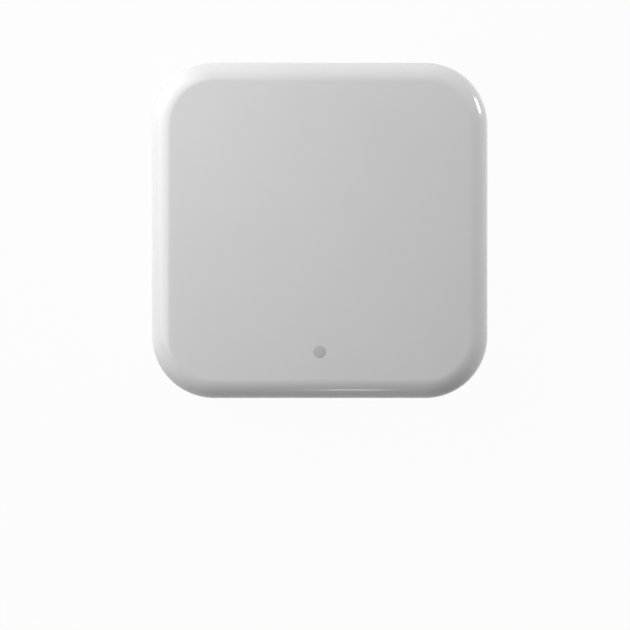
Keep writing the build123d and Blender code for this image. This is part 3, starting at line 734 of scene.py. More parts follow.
def cloud(tree, place, size, first, second, detail=3.0, rough=0.5):
    """Soft patches about size across, from the first colour or number to the second."""
    patches = add_node(
        tree, "ShaderNodeTexNoise", None,
        {"Vector": place, "Scale": 1 / size, "Detail": detail, "Roughness": rough},
    )
    share = add_node(
        tree, "ShaderNodeMapRange", None,
        {"Value": patches.outputs["Fac"], "From Min": NOISE_LOW, "From Max": NOISE_HIGH},
    )
    if isinstance(first, tuple):
        mix = add_node(
            tree, "ShaderNodeMix", {"data_type": "RGBA"}, {0: share, 6: first, 7: second},
        )
        return mix.outputs[2]
    mix = add_node(tree, "ShaderNodeMix", None, {0: share, 2: first, 3: second})
    return mix.outputs[0]


def feed(tree, shader, **sources):
    """Link each named input of a shader to a node's first output or to a socket."""
    for key, source in sources.items():
        output = source if isinstance(source, bpy.types.NodeSocket) else source.outputs[0]
        tree.links.new(output, shader.inputs[key.replace("_", " ")])


def moulded_abs():
    """ABS from a polished mould: even white, smooth enough for crisp small glints on its rims.

    The faint orange peel of such moulds, about 1.5 mm across, bends those glints a little.
    """
    colour = bpy.context.scene.gateway_colours.case
    material, tree, shader, place = start_finish("ABS, satin polished mould", IOR=1.52)
    peel = cloud(tree, place, 1.5 * MM, 0.0, 1.0, 1.0)
    feed(
        tree, shader,
        Base_Color=cloud(tree, place, 16 * MM, tint(colour), tint(colour, 0.985)),
        Roughness=cloud(tree, place, 5 * MM, 0.12, 0.16),
        Normal=add_node(
            tree, "ShaderNodeBump", None, {"Height": peel, "Strength": 0.1, "Distance": 0.01 * MM},
        ),
    )
    return material


def frosted_polycarbonate():
    """Diffusing polycarbonate, frosted at its end: flat grey while the lamp under it is off."""
    colour = bpy.context.scene.gateway_colours.light
    material, tree, shader, place = start_finish(
        "Polycarbonate, frosted", IOR=1.58, Roughness=0.55,
        Subsurface_Weight=0.2, Subsurface_Radius=(0.5, 0.5, 0.5), Subsurface_Scale=0.5 * MM,
    )
    frost = cloud(tree, place, 0.25 * MM, 0.0, 1.0, 2.0)
    feed(
        tree, shader,
        Base_Color=cloud(tree, place, 0.5 * MM, tint(colour), tint(colour, 0.94)),
        Normal=add_node(
            tree, "ShaderNodeBump", None, {"Height": frost, "Strength": 0.2, "Distance": 0.01 * MM},
        ),
    )
    return material


def moulded_silicone():
    """Compression moulded silicone: matt grey with a soft skin that holds a little dust."""
    # The feet's colour is lighter than their rubber, as painted light against the shade under the
    # case
    colour = bpy.context.scene.gateway_colours.feet
    material, tree, shader, place = start_finish("Silicone rubber, moulded", IOR=1.43)
    skin = cloud(tree, place, 0.35 * MM, 0.0, 1.0)
    feed(
        tree, shader,
        Base_Color=cloud(tree, place, 2 * MM, tint(colour), tint(colour, 0.84), 5.0, 0.65),
        Roughness=cloud(tree, place, 1.2 * MM, 0.62, 0.8),
        Normal=add_node(
            tree, "ShaderNodeBump", None, {"Height": skin, "Strength": 0.3, "Distance": 0.02 * MM},
        ),
    )
    return material


def polished_abs():
    """ABS from a mirror polished mould: light grey and glossy, with slight wear from fingertips."""
    colour = bpy.context.scene.gateway_colours.button
    material, tree, shader, place = start_finish("ABS, mirror polished mould", IOR=1.52)
    feed(
        tree, shader,
        Base_Color=cloud(tree, place, 3 * MM, tint(colour), tint(colour, 0.97)),
        Roughness=cloud(tree, place, 0.8 * MM, 0.1, 0.22),
    )
    return material


def sheet_metal(name, colour, roughness, stretch, grain):
    """Plated sheet or wire: fine lines along the way it was rolled or drawn, faintly smudged."""
    material, tree, shader, place = start_finish(name, Metallic=1.0)
    drawn = add_node(tree, "ShaderNodeMapping", None, {"Vector": place, "Scale": stretch})
    lines = cloud(tree, drawn, grain, 0.0, 1.0, 4.0)
    spread = add_node(
        tree, "ShaderNodeMapRange", None,
        {"Value": lines, "To Min": roughness - 0.05, "To Max": roughness + 0.07},
    )
    feed(
        tree, shader,
        Base_Color=cloud(tree, place, 3 * MM, tint(colour), tint(colour, 0.8)),
        Roughness=spread,
        Normal=add_node(
            tree, "ShaderNodeBump", None,
            {"Height": lines, "Strength": 0.12, "Distance": 0.01 * MM},
        ),
    )
    return material


def nickel_plated_steel():
    """Drawn steel under bright nickel, as on sockets: clean, with faint drawing lines along Y."""
    return sheet_metal(
        "Steel, drawn and nickel plated", "D3D3D1", 0.24, (1.0, 0.05, 1.0), 0.12 * MM,
    )


def pressed_tinplate():
    """Pressed tinplate, as on radio shields: pale, with rolling lines along X."""
    return sheet_metal("Tinplate, pressed", "CFCFCC", 0.28, (0.05, 1.0, 1.0), 0.2 * MM)


def zinc_plated_steel():
    """Rolled steel screws under zinc: greyer than nickel and slightly rough."""
    return sheet_metal("Steel, rolled and zinc plated", "C6C8CA", 0.34, (1.0, 1.0, 0.3), 0.15 * MM)


def reflowed_tin():
    """Solder and tinned leads: bright, with a soft frosty skin."""
    material, tree, shader, place = start_finish("Tin, reflowed", Metallic=1.0)
    frost = cloud(tree, place, 0.3 * MM, 0.0, 1.0)
    feed(
        tree, shader,
        Base_Color=cloud(tree, place, 0.5 * MM, tint("D6D7D6"), tint("BDBEBE")),
        Roughness=cloud(tree, place, 0.3 * MM, 0.22, 0.4),
        Normal=add_node(
            tree, "ShaderNodeBump", None,
            {"Height": frost, "Strength": 0.25, "Distance": 0.01 * MM},
        ),
    )
    return material


def gold_flash():
    """Gold plated thinly over nickel: warm, and a little paler where it is thin."""
    material, tree, shader, place = start_finish("Gold flash on nickel, plated", Metallic=1.0)
    feed(
        tree, shader,
        Base_Color=cloud(tree, place, 0.6 * MM, tint("E6BC5C"), tint("D9B878")),
        Roughness=cloud(tree, place, 0.4 * MM, 0.18, 0.3),
    )
    return material


def resist_over_copper():
    """Etched copper under clear resist: reddish metal with a thin glossy coat."""
    material, tree, shader, place = start_finish(
        "Copper, etched under clear resist", Metallic=1.0, Coat_Weight=0.6, Coat_Roughness=0.15,
    )
    feed(
        tree, shader,
        Base_Color=cloud(tree, place, 0.8 * MM, tint("C98A5B"), tint("AD6A45")),
        Roughness=cloud(tree, place, 0.3 * MM, 0.3, 0.45),
    )
    return material


def drawn_aluminium():
    """Impact drawn aluminium can: satin, with lines up its side and a black polarity mark."""
    material, tree, shader, place = start_finish("Aluminium, drawn and lacquered")
    low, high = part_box("capacitor_can_left")
    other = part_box("capacitor_can_right")[0]
    mark_share, top_layer = 0.3, 0.05 * MM
    drawn = add_node(tree, "ShaderNodeMapping", None, {"Vector": place, "Scale": (1.0, 1.0, 0.08)})
    lines = cloud(tree, drawn, 0.15 * MM, 0.0, 1.0, 4.0)
    axes = add_node(tree, "ShaderNodeSeparateXYZ", None, {0: place})
    across = add_node(
        tree, "ShaderNodeMath", {"operation": "SUBTRACT"}, {0: axes.outputs["X"], 1: low.x},
    )
    across = add_node(
        tree, "ShaderNodeMath", {"operation": "WRAP"}, {0: across, 1: other.x - low.x, 2: 0.0},
    )
    beside = add_node(
        tree, "ShaderNodeMath", {"operation": "LESS_THAN"},
        {0: across, 1: mark_share * (high.x - low.x)},
    )
    on_top = add_node(
        tree, "ShaderNodeMath", {"operation": "GREATER_THAN"},
        {0: axes.outputs["Z"], 1: high.z - top_layer},
    )
    inked = add_node(tree, "ShaderNodeMath", {"operation": "MULTIPLY"}, {0: beside, 1: on_top})
    metal = add_node(tree, "ShaderNodeMath", {"operation": "SUBTRACT"}, {0: 1.0, 1: inked})
    bare = cloud(tree, place, 2 * MM, tint("D4D5D7"), tint("C2C3C6"))
    spread = add_node(
        tree, "ShaderNodeMapRange", None, {"Value": lines, "To Min": 0.3, "To Max": 0.42},
    )
    feed(
        tree, shader,
        Base_Color=add_node(
            tree, "ShaderNodeMix", {"data_type": "RGBA"}, {0: inked, 6: bare, 7: tint("151517")},
        ).outputs[2],
        Metallic=metal,
        Roughness=spread,
        Normal=add_node(
            tree, "ShaderNodeBump", None, {"Height": lines, "Strength": 0.1, "Distance": 0.01 * MM},
        ),
    )
    return material


def resist_on_laminate(name, resist, over_copper, core, low, high):
    """Glass laminate between two levels, under solder resist.

    The resist is glossy over a faint weave of 0.5 mm, brighter where copper lies under it, and
    the cut edges show the dull core.
    """
    resist_skin = 0.005 * MM
    material, tree, shader, place = start_finish(name, IOR=1.55)
    facing = add_node(
        tree, "ShaderNodeSeparateXYZ", None, {0: place.node.outputs["Normal"]},
    ).outputs["Z"]
    facing = add_node(tree, "ShaderNodeMath", {"operation": "ABSOLUTE"}, {0: facing})
    on_face = add_node(tree, "ShaderNodeMath", {"operation": "GREATER_THAN"}, {0: facing, 1: 0.5})
    height = add_node(tree, "ShaderNodeSeparateXYZ", None, {0: place}).outputs["Z"]
    off_middle = add_node(
        tree, "ShaderNodeMath", {"operation": "SUBTRACT"}, {0: height, 1: (low + high) / 2},
    )
    off_middle = add_node(tree, "ShaderNodeMath", {"operation": "ABSOLUTE"}, {0: off_middle})
    raised = add_node(
        tree, "ShaderNodeMath", {"operation": "GREATER_THAN"},
        {0: off_middle, 1: (high - low) / 2 + resist_skin},
    )
    coated = add_node(tree, "ShaderNodeMath", {"operation": "MAXIMUM"}, {0: on_face, 1: raised})
    plain = cloud(tree, place, 6 * MM, tint(resist), tint(resist, 0.85))
    green = add_node(
        tree, "ShaderNodeMix", {"data_type": "RGBA"}, {0: raised, 6: plain, 7: tint(over_copper)},
    ).outputs[2]
    layers = add_node(tree, "ShaderNodeMapping", None, {"Vector": place, "Scale": (0.1, 0.1, 1.0)})
    cut = cloud(tree, layers, 0.25 * MM, tint(core), tint(core, 0.6))
    bands = {"Vector": place, "Scale": pi / 10 / (0.5 * MM)}
    warp = add_node(tree, "ShaderNodeTexWave", {"bands_direction": "X"}, bands)
    weft = add_node(tree, "ShaderNodeTexWave", {"bands_direction": "Y"}, bands)
    weave = add_node(
        tree, "ShaderNodeMath", {"operation": "MULTIPLY"},
        {0: warp.outputs["Fac"], 1: weft.outputs["Fac"]},
    )
    feed(
        tree, shader,
        Base_Color=add_node(
            tree, "ShaderNodeMix", {"data_type": "RGBA"}, {0: coated, 6: cut, 7: green},
        ).outputs[2],
        Roughness=add_node(
            tree, "ShaderNodeMix", None,
            {0: coated, 2: 0.8, 3: cloud(tree, place, 2 * MM, 0.26, 0.34)},
        ).outputs[0],
        Normal=add_node(
            tree, "ShaderNodeBump", None, {"Height": weave, "Strength": 0.1, "Distance": 0.01 * MM},
        ),
    )
    return material


def main_laminate():
    """The main board: green resist."""
    return resist_on_laminate(
        "Glass laminate, green resist", "1B5A38", "2F7A4D", "B59F6A", BOARD_UNDERSIDE, BOARD_TOP,
    )


def module_laminate():
    """The radios' boards: black resist."""
    low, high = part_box("network_radio_board")
    return resist_on_laminate(
        "Glass laminate, black resist", "1D1E20", "2C2D30", "6E6248", low.z, high.z,
    )


def filled_plastic(name, colour, roughness, fleck=0.7, depth=0.012):
    """A moulded plastic with filler: matt, with short fibres or grains that break its skin."""
    material, tree, shader, place = start_finish(name, IOR=1.53)
    skin = cloud(tree, place, 0.2 * MM, 0.0, 1.0, 5.0, 0.7)
    feed(
        tree, shader,
        Base_Color=cloud(tree, place, 0.4 * MM, tint(colour), tint(colour, fleck), 5.0, 0.7),
        Roughness=cloud(tree, place, 0.5 * MM, roughness - 0.06, roughness + 0.08),
        Normal=add_node(
            tree, "ShaderNodeBump", None, {"Height": skin, "Strength": 0.3, "Distance": depth * MM},
        ),
    )
    return material


def black_polymer():
    """Glass filled liquid crystal polymer, moulded: near black and dull, as in sockets."""
    return filled_plastic("Liquid crystal polymer, moulded black", "1C1C1D", 0.5)


def black_nylon():
    """Glass filled nylon, moulded: black with a slight sheen, for the switch."""
    return filled_plastic("Nylon, moulded black", "232324", 0.42)


def white_polyamide():
    """White filled polyamide, moulded: chalky, so that the lamp's cup throws its light up."""
    return filled_plastic("Polyamide, moulded white", "E9E8E2", 0.6, 0.93)


def moulded_epoxy():
    """Silica filled epoxy, transfer moulded: charcoal with a fine grainy skin."""
    return filled_plastic("Epoxy, transfer moulded", "28282A", 0.62, 0.8, 0.02)


def laminated_polymer():
    """The fuse's polymer between two foils: green and matt, with layers along its cut sides."""
    material, tree, shader, place = start_finish(
        "Polymer fuse, laminated", IOR=1.55, Roughness=0.55,
    )
    layers = add_node(
        tree, "ShaderNodeMapping", None, {"Vector": place, "Scale": (0.08, 0.08, 1.0)},
    )
    feed(
        tree, shader,
        Base_Color=cloud(tree, layers, 0.3 * MM, tint("4E7F5B"), tint("33583F")),
        Normal=add_node(
            tree, "ShaderNodeBump", None,
            {
                "Height": cloud(tree, layers, 0.2 * MM, 0.0, 1.0), "Strength": 0.2,
                "Distance": 0.01 * MM,
            },
        ),
    )
    return material


def fired_ceramic():
    """Barium titanate, fired: tan, slightly mottled, with the dull sheen of unglazed ceramic."""
    material, tree, shader, place = start_finish("Barium titanate, fired", IOR=1.8)
    feed(
        tree, shader,
        Base_Color=cloud(tree, place, 0.3 * MM, tint("B79A73"), tint("96794F")),
        Roughness=cloud(tree, place, 0.2 * MM, 0.4, 0.5),
    )
    return material


def glazed_alumina():
    """Alumina with a black glaze: glossy black on top, with white ceramic at the sides."""
    material, tree, shader, place = start_finish("Alumina, glazed black on top", IOR=1.7)
    facing = add_node(
        tree, "ShaderNodeSeparateXYZ", None, {0: place.node.outputs["Normal"]},
    ).outputs["Z"]
    glazed = add_node(tree, "ShaderNodeMath", {"operation": "GREATER_THAN"}, {0: facing, 1: 0.5})
    white = cloud(tree, place, 0.3 * MM, tint("E4E1D8"), tint("D2CEC2"))
    feed(
        tree, shader,
        Base_Color=add_node(
            tree, "ShaderNodeMix", {"data_type": "RGBA"}, {0: glazed, 6: white, 7: tint("17171A")},
        ).outputs[2],
        Roughness=cloud(tree, place, 0.3 * MM, 0.28, 0.4),
    )
    return material


def closed_foam():
    """Closed cell foam, cut: dull black, pitted with cells about 0.25 mm across."""
    material, tree, shader, place = start_finish("Foam rubber, cut", IOR=1.45, Roughness=0.85)
    cells = add_node(
        tree, "ShaderNodeTexVoronoi", None, {"Vector": place, "Scale": 1 / (0.25 * MM)},
    )
    feed(
        tree, shader,
        Base_Color=cloud(tree, place, 0.6 * MM, tint("2B2B2C"), tint("1D1D1E")),
        Normal=add_node(
            tree, "ShaderNodeBump", None,
            {"Height": cells.outputs["Distance"], "Strength": 0.5, "Distance": 0.08 * MM},
        ),
    )
    return material


def cast_resin():
    """Silicone with yellow phosphor, cast into the lamp's cup: soft and slightly see-through."""
    material, tree, shader, place = start_finish(
        "Silicone with phosphor, cast", IOR=1.43, Roughness=0.35,
        Subsurface_Weight=0.4, Subsurface_Radius=(1.0, 0.7, 0.2), Subsurface_Scale=0.3 * MM,
    )
    feed(tree, shader, Base_Color=cloud(tree, place, 0.3 * MM, tint("E9CF5E"), tint("DDBB45")))
    return material


FINISHES = {
    "white_case": moulded_abs,
    "light_window": frosted_polycarbonate,
    "foot_rubber": moulded_silicone,
    "button_plastic": polished_abs,
    "socket_steel": nickel_plated_steel,
    "shield_steel": pressed_tinplate,
    "screw_steel": zinc_plated_steel,
    "lead_tin": reflowed_tin,
    "contact_gold": gold_flash,
    "antenna_copper": resist_over_copper,
    "can_aluminium": drawn_aluminium,
    "board_laminate": main_laminate,
    "module_laminate": module_laminate,
    "socket_insulator": black_polymer,
    "switch_plastic": black_nylon,
    "lamp_plastic": white_polyamide,
    "moulded_epoxy": moulded_epoxy,
    "fuse_body": laminated_polymer,
    "capacitor_ceramic": fired_ceramic,
    "resistor_ceramic": glazed_alumina,
    "seal_foam": closed_foam,
    "lamp_resin": cast_resin,
}
MATERIALS = {}


def finish(slot):
    """The material of one of the record's slots, made when it is first asked for."""
    if slot not in MATERIALS:
        MATERIALS[slot] = FINISHES[slot]()
    return MATERIALS[slot]


# Tracks on the main board, in mm: how many side by side and their step, their width, the start
# of the first and its moves. Narrow ones end in a plated hole.
NARROW_TRACK = 1
TRACKS = (
    (1, (0, 0), 1.4, (2.2, 22.0), ((2.2, 0), (2.4, -2.4), (1.2, 0))),
    (1, (0, 0), 1.4, (-2.2, 22.0), ((-2.0, 0), (-2.4, -2.4), (0, -3.0))),
    (1, (0, 0), 1.4, (-6.6, 16.5), ((-2.6, 0),)),
    (1, (0, 0), 0.9, (-0.3, 16.5), ((2.2, 0), (3.1, -3.1), (0.7, 0))),
    (4, (1.27, -0.6), 0.3, (-12.5, 5.2), ((0, 1.6), (2.4, 2.4), (9.0, 0))),
    (4, (-1.27, -0.6), 0.3, (22.9, 2.2), ((0, 2.0), (-2.4, 2.4), (-7.5, 0))),
    (4, (1.27, 0.6), 0.3, (-12.5, -13.2), ((0, -1.6), (2.4, -2.4), (8.5, 0))),
    (4, (-1.27, 0.6), 0.3, (22.9, -10.2), ((0, -2.2), (-2.4, -2.4), (-7.0, 0))),
    (1, (0, 0), 0.3, (1.2, -27.5), ((3.0, 0), (3.0, 3.0), (0, 4.0), (1.0, 1.0))),
    (1, (0, 0), 0.3, (0.0, -23.2), ((0, 1.2), (1.8, 1.8), (3.8, 0))),
    (1, (0, 0), 0.3, (13.75, 26.0), ((0, -4.0), (2.0, -2.0), (0, -10.0))),
    (1, (0, 0), 0.3, (18.25, 26.0), ((0, -3.2), (-1.3, -1.3), (0, -11.0))),
    (1, (0, 0), 0.8, (8.0, 13.6), ((0, -1.4), (-1.2, -1.2), (0, -2.6))),
    (1, (0, 0), 0.8, (10.3, 13.6), ((0, -1.4), (1.6, -1.6), (0, -1.6))),
)


# Pieces

def case_block(name, sizes, inset, low, high, edge, rim=0.0):
    """A rounded block that follows the case's outline at an inset."""
    return grow(
        name, tree_for(rounded_block_tree), "white_case",
        Side=SIDE - 2 * inset, Corner=sizes.corner - inset, Edge=edge, Rim=max(rim, LEAST_RIM),
        Low=low, High=high,
    )


def pad_of(width, length, level):
    """A solder covered pad on a board, centred on the origin, with soft upper edges."""
    height, sunk, ease = 0.05 * MM, 0.02 * MM, 0.03 * MM
    pad = box(
        "pad", (-width / 2, -length / 2, level - sunk), (width / 2, length / 2, level + height),
    )
    return soften(pad, ease)


def turn_over(piece):
    """Turn a piece upside down about the X axis."""
    piece.data.transform(Matrix.Rotation(pi, 4, "X"))
    return piece


class GATEWAY_OT_top_cover(bpy.types.Operator):
    """Build the cover, with its rebate, bosses, posts, ribs, light collar and rear openings"""

    bl_idname = "gateway.top_cover"
    bl_label = "Top cover"

    def execute(self, context):
        sizes = context.scene.gateway_case
        roof = TOP - sizes.wall
        inner = SIDE / 2 - sizes.wall
        cover = case_block("cover_shell", sizes, 0.0, SEAM, TOP, sizes.edge, sizes.rim)
        cavity = case_block("cavity", sizes, sizes.wall, SEAM - PAST, roof, sizes.edge - sizes.wall)
        combine(cover, cavity, "DIFFERENCE")

        # Bosses for the case screws and posts for the board, each with ribs out to the walls
        boss_wall, rib_rise = 1.45 * MM, 5 * MM
        boss = rod("boss", CASE_BORE + boss_wall, MEETING, roof + ROOT)
        combine(cover, repeat("bosses", boss, "white_case", 2, 2, SCREW_GRID), "UNION")
        post = rod("post", POST_BORE + boss_wall, BOARD_TOP, roof + ROOT)
        combine(cover, repeat("posts", post, "white_case", 2, 2, POST_GRID), "UNION")
        half, rib_low = sizes.rib / 2, BOARD_TOP + rib_rise
        boss_reach, post_reach = inner + ROOT - SCREW_AT, inner + ROOT - POST_Y
        for name, half_x, half_y, (pitch_x, pitch_y) in (
            ("boss_ribs_x", boss_reach / 2, half, (SCREW_GRID[0] + boss_reach, SCREW_GRID[1])),
            ("boss_ribs_y", half, boss_reach / 2, (SCREW_GRID[0], SCREW_GRID[1] + boss_reach)),
            ("post_ribs", half, post_reach / 2, (POST_GRID[0], POST_GRID[1] + post_reach)),
        ):
            rib = box(name, (-half_x, -half_y, rib_low), (half_x, half_y, roof + ROOT))
            ribs = repeat(name, rib, "white_case", 2, 2, (pitch_x, pitch_y))
            combine(cover, ribs, "UNION")

        # Rebate for the base's tongue
        skin = sizes.wall - sizes.tongue - sizes.play
        rebate = case_block(
            "rebate", sizes, skin, SEAM - PAST, BASE_HIGH.z + 2 * sizes.play, TONGUE_ROUNDING,
        )
        combine(cover, rebate, "DIFFERENCE")

        # Collar for the light pipe, and the hole that shows the pipe's tip
        pipe_radius = (PIPE_HIGH.x - PIPE_LOW.x) / 2
        collar_wall, collar_rise = 1.25 * MM, 3.5 * MM
        pipe_play, tip_play, lip = 0.05 * MM, 0.02 * MM, 0.03 * MM
        bore, hole = pipe_radius + pipe_play, TIP_RADIUS + tip_play
        collar = rod(
            "collar", pipe_radius + collar_wall, BOARD_TOP + collar_rise, roof + ROOT, LIGHT_AT,
        )
        combine(cover, collar, "UNION")
        drill = turned(
            "drill",
            [
                (0, SEAM), (bore, SEAM), (bore, roof), (hole, roof), (hole, TOP - lip),
                (hole + 2 * lip, TOP + lip), (0, TOP + lip),
            ],
            LIGHT_AT,
        )
        combine(cover, drill, "DIFFERENCE")

        # Screw bores, with the drill's point at their ends
        point = 0.4 * MM
        for name, radius, low, spacing in (
            ("case_bores", CASE_BORE, SEAM, SCREW_GRID),
            ("board_bores", POST_BORE, BOARD_TOP - PAST, POST_GRID),
        ):
            profile = [(0, low), (radius, low), (radius, BORE_END), (0, BORE_END + point)]
            drill = turned(name, profile, steps=32)
            combine(cover, repeat(name, drill, "white_case", 2, 2, spacing), "DIFFERENCE")

        # Socket window and button hole through the rear wall, with eased outer edges
        rear = SIDE / 2
        window_spare_width, window_spare_height = 0.5 * MM, 1.14 * MM
        window = upright_slot(
            "window",
            SOCKET_HIGH.x - SOCKET_LOW.x + window_spare_width,
            CORE_HIGH.z - CORE_LOW.z + window_spare_height,
            (0, (CORE_LOW.z + CORE_HIGH.z) / 2), rear - sizes.wall - PAST, rear + PAST,
        )
        combine(cover, window, "DIFFERENCE")
        radius, bevel, proud = BUTTON_RADIUS + 0.15 * MM, 0.2 * MM, 0.05 * MM
        through = sizes.wall + PAST
        hole = turned(
            "hole",
            [
                (0, -through), (radius, -through), (radius, -bevel),
                (radius + bevel + proud, proud), (0, proud),
            ],
            (BUTTON_AT[0], rear, BUTTON_AT[1]), facing="rear",
        )
        combine(cover, hole, "DIFFERENCE")
        dress(tidy_mesh(cover), CASE, "white_case", "top_cover")
        return {"FINISHED"}


class GATEWAY_OT_base_plate(bpy.types.Operator):
    """Build the base, with its tongue, floor ribs, screw posts, wells and foot recesses"""

    bl_idname = "gateway.base_plate"
    bl_label = "Base plate"

    def execute(self, context):
        sizes = context.scene.gateway_case
        floor = BOTTOM + sizes.wall
        inner = SIDE / 2 - sizes.wall
        base = turn_over(
            case_block("base_shell", sizes, 0.0, -SEAM, -BOTTOM, sizes.edge, sizes.rim),
        )
        tongue = case_block(
            "tongue", sizes, sizes.wall - sizes.tongue, SEAM - 2 * MM, BASE_HIGH.z, TONGUE_ROUNDING,
        )
        combine(base, tongue, "UNION")
        inner_edge = sizes.edge - sizes.wall
        cavity = case_block("cavity", sizes, sizes.wall, -BASE_HIGH.z - PAST, -floor, inner_edge)
        combine(base, turn_over(cavity), "DIFFERENCE")

        # Floor ribs and the posts under the cover's bosses
        reach, half = inner + ROOT, sizes.rib / 2
        rise, pitch, post_radius = 1.5 * MM, 15 * MM, 3.5 * MM
        across = box("ribs_x", (-reach, -half, floor - ROOT), (reach, half, floor + rise))
        combine(base, repeat("ribs_x", across, "white_case", 1, 3, (0.0, pitch)), "UNION")
        along = box("ribs_y", (-half, -reach, floor - ROOT), (half, reach, floor + rise))
        combine(base, repeat("ribs_y", along, "white_case", 3, 1, (pitch, 0.0)), "UNION")
        post = rod("post", post_radius, floor - ROOT, MEETING)
        combine(base, repeat("posts", post, "white_case", 2, 2, SCREW_GRID), "UNION")

        # Foot recess, well for the screw's head and hole for its thread, in one stepped cut
        recess = (FOOT_HIGH.x - FOOT_LOW.x) / 2 + 0.1 * MM
        head, hole, bevel, proud = 2.6 * MM, 1.5 * MM, 0.1 * MM, 0.05 * MM
        seat = SCREW_LOW.z + CASE_HEAD_HEIGHT
        well = turned(
            "well",
            [
                (0, BOTTOM - proud), (recess + bevel + proud, BOTTOM - proud),
                (recess, BOTTOM + bevel), (recess, FOOT_HIGH.z), (head, FOOT_HIGH.z), (head, seat),
                (hole, seat), (hole, MEETING + PAST), (0, MEETING + PAST),
            ],
        )
        combine(base, repeat("wells", well, "white_case", 2, 2, SCREW_GRID), "DIFFERENCE")
        dress(tidy_mesh(base), CASE, "white_case", "base_plate")
        return {"FINISHED"}


class GATEWAY_OT_rubber_feet(bpy.types.Operator):
    """Build the four rubber feet"""

    bl_idname = "gateway.rubber_feet"
    bl_label = "Rubber feet"

    def execute(self, context):
        for corner in ("front_left", "front_right", "rear_left", "rear_right"):
            node = f"rubber_foot_{corner}"
            low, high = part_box(node)
            radius = (high.x - low.x) / 2
            flat_inset, ease, top_ease = 1.2 * MM, 0.3 * MM, 0.1 * MM
            profile = [(0, low.z), (radius - flat_inset, low.z)]
            profile += bend(radius - ease, low.z + ease, ease, -90, 0)
            profile += bend(radius - top_ease, high.z - top_ease, top_ease, 0, 90, 3)
            profile += [(0, high.z)]
            foot = turned(f"{node}_pad", profile, middle_of(low, high), 96)
            dress(foot, CASE, "foot_rubber", node, crease=50)
        return {"FINISHED"}


class GATEWAY_OT_light_pipe(bpy.types.Operator):
    """Build the light pipe, whose frosted tip shows in the cover"""

    bl_idname = "gateway.light_pipe"
    bl_label = "Light pipe"

    def execute(self, context):
        roof = TOP - context.scene.gateway_case.wall
        radius = (PIPE_HIGH.x - PIPE_LOW.x) / 2
        lead, ease = 0.3 * MM, 0.04 * MM
        profile = [(0, PIPE_LOW.z), (radius - lead, PIPE_LOW.z), (radius, PIPE_LOW.z + lead)]
        profile += [(radius, roof - ease), (radius - ease, roof), (TIP_RADIUS, roof)]
        profile += bend(TIP_RADIUS - ease, PIPE_HIGH.z - ease, ease, 0, 90, 4)
        profile += [(0, PIPE_HIGH.z)]
        pipe = turned("light_pipe_rod", profile, LIGHT_AT)
        dress(pipe, CASE, "light_window", "light_pipe", crease=40)
        return {"FINISHED"}


class GATEWAY_OT_reset_button(bpy.types.Operator):
    """Build the reset button, with a dish for a fingertip, its flange and its stub"""

    bl_idname = "gateway.reset_button"
    bl_label = "Reset button"

    def execute(self, context):
        flange, stub, thickness = (BUTTON_HIGH.x - BUTTON_LOW.x) / 2, 1.25 * MM, 0.8 * MM
        wall_gap, bevel = 0.05 * MM, 0.1 * MM
        front = SIDE / 2 - context.scene.gateway_case.wall - wall_gap - BUTTON_LOW.y
        back = front - thickness
        face = BUTTON_HIGH.y - BUTTON_LOW.y
        ease, dish_edge, dish, dish_steps = 0.25 * MM, 1.6 * MM, 0.2 * MM, 8
        dish_radius = (dish_edge**2 + dish**2) / (2 * dish)
        spread = asin(dish_edge / dish_radius)
        profile = [(0, 0), (stub - bevel, 0), (stub, bevel), (stub, back)]
        profile += [(flange - bevel, back), (flange, back + bevel), (flange, front - bevel)]
        profile += [(flange - bevel, front), (BUTTON_RADIUS, front)]
        profile += bend(BUTTON_RADIUS - ease, face - ease, ease, 0, 90, 6)
        for step in range(dish_steps):
            angle = spread * (1 - step / dish_steps)
            depth = dish - dish_radius * (1 - cos(angle))
            profile.append((dish_radius * sin(angle), face - depth))
        profile.append((0, face - dish))
        place = (BUTTON_AT[0], BUTTON_LOW.y, BUTTON_AT[1])
        button = turned("reset_button_cap", profile, place, 72, facing="rear")
        dress(button, KEY, "button_plastic", "reset_button", crease=40)
        return {"FINISHED"}


class GATEWAY_OT_screws(bpy.types.Operator):
    """Build the case screws and the board screws, with cross recesses and rolled threads"""

    bl_idname = "gateway.screws"
    bl_label = "Screws"

    def execute(self, context):
        # Shares of the head's height for its crown, recess depth and recess slot, of its radius
        # for the recess's reach, of the thread for its depth and of the core for the flat tip
        crown_share, recess_share, slot_share = 0.6, 0.6, 0.15
        reach_share, depth_share, tip_share = 0.5, 0.09, 0.3
        ease = 0.08 * MM
        for node, spacing, head_height, thread, pitch in (
            ("case_screws", SCREW_GRID, CASE_HEAD_HEIGHT, 2.6 * MM, 1.0 * MM),
            ("board_screws", POST_GRID, POST_HEAD_HEIGHT, 2.0 * MM, 0.8 * MM),
        ):
            low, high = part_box(node)
            head = high.x - spacing[0] / 2
            seat = low.z + head_height
            crown, depth = head_height * crown_share, thread * depth_share
            core = thread / 2 - depth
            profile = [(0, low.z)]
            profile += bend(head - crown, low.z + crown, crown, -90, 0)
            profile += [(head, seat - ease), (head - ease, seat), (core, seat)]
            profile += [(core, high.z - core), (core * tip_share, high.z), (0, high.z)]
            screw = turned(node, profile, steps=40)
            arm, half = head * reach_share, head_height * slot_share
            recess_end = low.z + head_height * recess_share
            for reach_x, reach_y in ((arm, half), (half, arm)):
                recess = box(
                    "recess", (-reach_x, -reach_y, low.z - PAST), (reach_x, reach_y, recess_end),
                )
                combine(screw, recess, "DIFFERENCE")
            ridge = grow(
                "ridge", tree_for(thread_tree), "screw_steel",
                Radius=core, Depth=depth, Pitch=pitch, Length=high.z - seat - core,
            )
            ridge.data.transform(Matrix.Translation((0, 0, seat)))
            copies = repeat(f"{node}_turned", join(screw, ridge), "screw_steel", 2, 2, spacing)
            dress(copies, CASE, "screw_steel", node)
        return {"FINISHED"}


